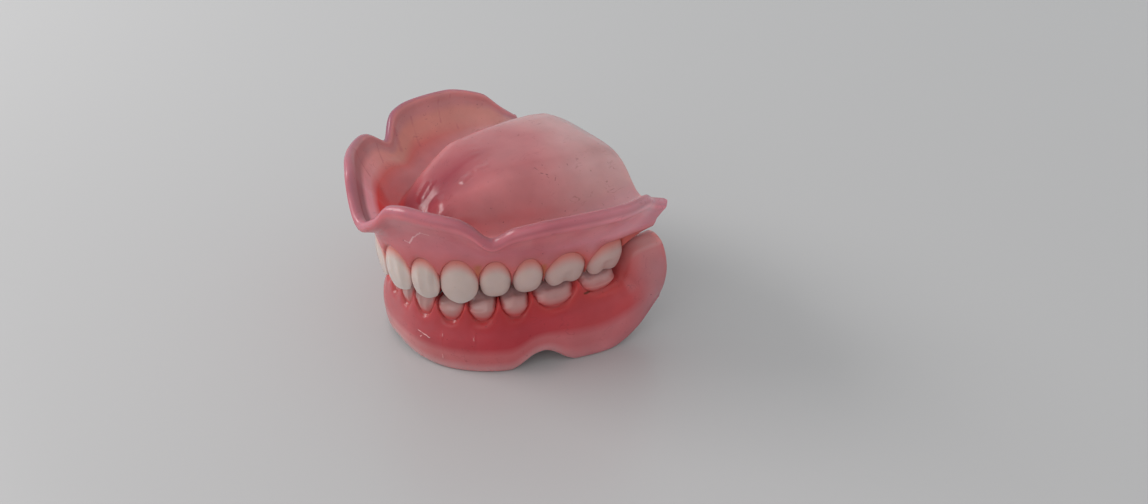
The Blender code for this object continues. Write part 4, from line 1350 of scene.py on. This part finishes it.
# Table and room, and lamps by their place, width, depth and colour, in metres
TABLE_HALF_WIDTH = 1.2
TABLE_ROUGHNESS = 0.32
SKY_COLOUR = (0.97, 0.99, 1.0, 1.0)
LAMP_AIM = (0.0, 0.0, 0.02)
LAMPS = {
    "key": ((-0.45, -0.5, 0.45), 0.42, 0.3, (1.0, 0.98, 0.97)),
    "fill": ((0.35, -0.6, 0.28), 0.6, 0.4, (1.0, 0.97, 0.96)),
    "spark": ((-0.46, -0.24, 0.3), 0.05, 0.03, (1.0, 0.98, 0.96)),
}


def put_facing(item, place, right, up, back):
    """Put a camera or lamp at its place, looking the opposite way of back."""
    axes = np.eye(4)
    axes[:3] = np.stack([right, up, back, place], axis=1)
    item.matrix_world = Matrix(axes.tolist())
    bpy.context.scene.collection.objects.link(item)


def add_camera():
    """Camera on a sphere round its target, turned by the roll about its own axis."""
    bearing, height, roll = np.radians((CAMERA_BEARING, CAMERA_HEIGHT, CAMERA_ROLL))
    back = np.array([np.sin(bearing) * np.cos(height), -np.cos(bearing) * np.cos(height),
                     np.sin(height)])
    right = np.array([np.cos(bearing), np.sin(bearing), 0.0])
    up = np.cross(back, right)
    right, up = (right * np.cos(roll) + up * np.sin(roll),
                 up * np.cos(roll) - right * np.sin(roll))
    lens = bpy.data.cameras.new("camera")
    lens.lens = CAMERA_LENS
    lens.sensor_width = SENSOR_WIDTH
    lens.clip_start = CLIP_START
    camera = bpy.data.objects.new("camera", lens)
    put_facing(camera, np.array(CAMERA_TARGET) + back * CAMERA_DISTANCE, right, up, back)
    bpy.context.scene.camera = camera


def add_lamp(name, place, width, depth, colour, power):
    """Rectangular lamp with its upper edge level, turned to the set."""
    lamp = bpy.data.lights.new(name, "AREA")
    lamp.shape = "RECTANGLE"
    lamp.size = width
    lamp.size_y = depth
    lamp.energy = power
    lamp.color = colour
    back = np.array(place) - np.array(LAMP_AIM)
    back /= np.linalg.norm(back)
    right = np.cross((0.0, 0.0, 1.0), back)
    right /= np.linalg.norm(right)
    put_facing(bpy.data.objects.new(name, lamp), place, right, np.cross(back, right), back)


class DENTURE_OT_stage(bpy.types.Operator):
    """Make the table, the lamps and the camera"""
    bl_idname = "denture.stage"
    bl_label = "Stage"

    def execute(self, context):
        look = context.scene.denture_stage
        mesh = bpy.data.meshes.new("table_top")
        corners = [(x * TABLE_HALF_WIDTH, y * TABLE_HALF_WIDTH, 0.0)
                   for x, y in ((-1, -1), (1, -1), (1, 1), (-1, 1))]
        mesh.from_pydata(corners, [], [(0, 1, 2, 3)])
        table = bpy.data.objects.new("table_top", mesh)
        context.scene.collection.objects.link(table)
        finish = bpy.data.materials.new("pale_table")
        finish.use_nodes = True
        plug(finish.node_tree, finish.node_tree.nodes["Principled BSDF"],
             {"Base Color": look.floor_colour, "Roughness": TABLE_ROUGHNESS})
        mesh.materials.append(finish)
        world = bpy.data.worlds.new("soft_room")
        world.use_nodes = True
        plug(world.node_tree, world.node_tree.nodes["Background"],
             {"Color": SKY_COLOUR, "Strength": look.sky})
        context.scene.world = world
        for name, settings in LAMPS.items():
            add_lamp(name, *settings, getattr(look, name + "_power"))
        add_camera()
        context.scene.view_settings.view_transform = "Standard"
        return {"FINISHED"}


class DENTURE_PT_set(bpy.types.Panel):
    """Sidebar panel of the denture set"""
    bl_idname = "DENTURE_PT_set"
    bl_label = "Full Denture Set"
    bl_space_type = "VIEW_3D"
    bl_region_type = "UI"
    bl_category = "Denture"

    def draw(self, context):
        column = self.layout.column()
        for group in (context.scene.denture_acrylic, context.scene.denture_teeth,
                      context.scene.denture_stage):
            for name in group.__annotations__:
                column.prop(group, name)
        for operator in STEPS:
            column.operator(operator.bl_idname)


STEPS = (DENTURE_OT_upper_base, DENTURE_OT_lower_base, DENTURE_OT_teeth, DENTURE_OT_stage)
GROUPS = (("denture_acrylic", DentureAcrylic), ("denture_teeth", DentureTeeth),
          ("denture_stage", DentureStage))


def register():
    for name, group in GROUPS:
        bpy.utils.register_class(group)
        setattr(bpy.types.Scene, name, bpy.props.PointerProperty(type=group))
    for each in STEPS + (DENTURE_PT_set,):
        bpy.utils.register_class(each)


def unregister():
    for each in (DENTURE_PT_set,) + STEPS[::-1]:
        bpy.utils.unregister_class(each)
    for name, group in GROUPS[::-1]:
        delattr(bpy.types.Scene, name)
        bpy.utils.unregister_class(group)


def main():
    register()
    bpy.ops.denture.upper_base()
    bpy.ops.denture.lower_base()
    bpy.ops.denture.teeth()
    bpy.ops.denture.stage()


if __name__ == "__main__":
    main()
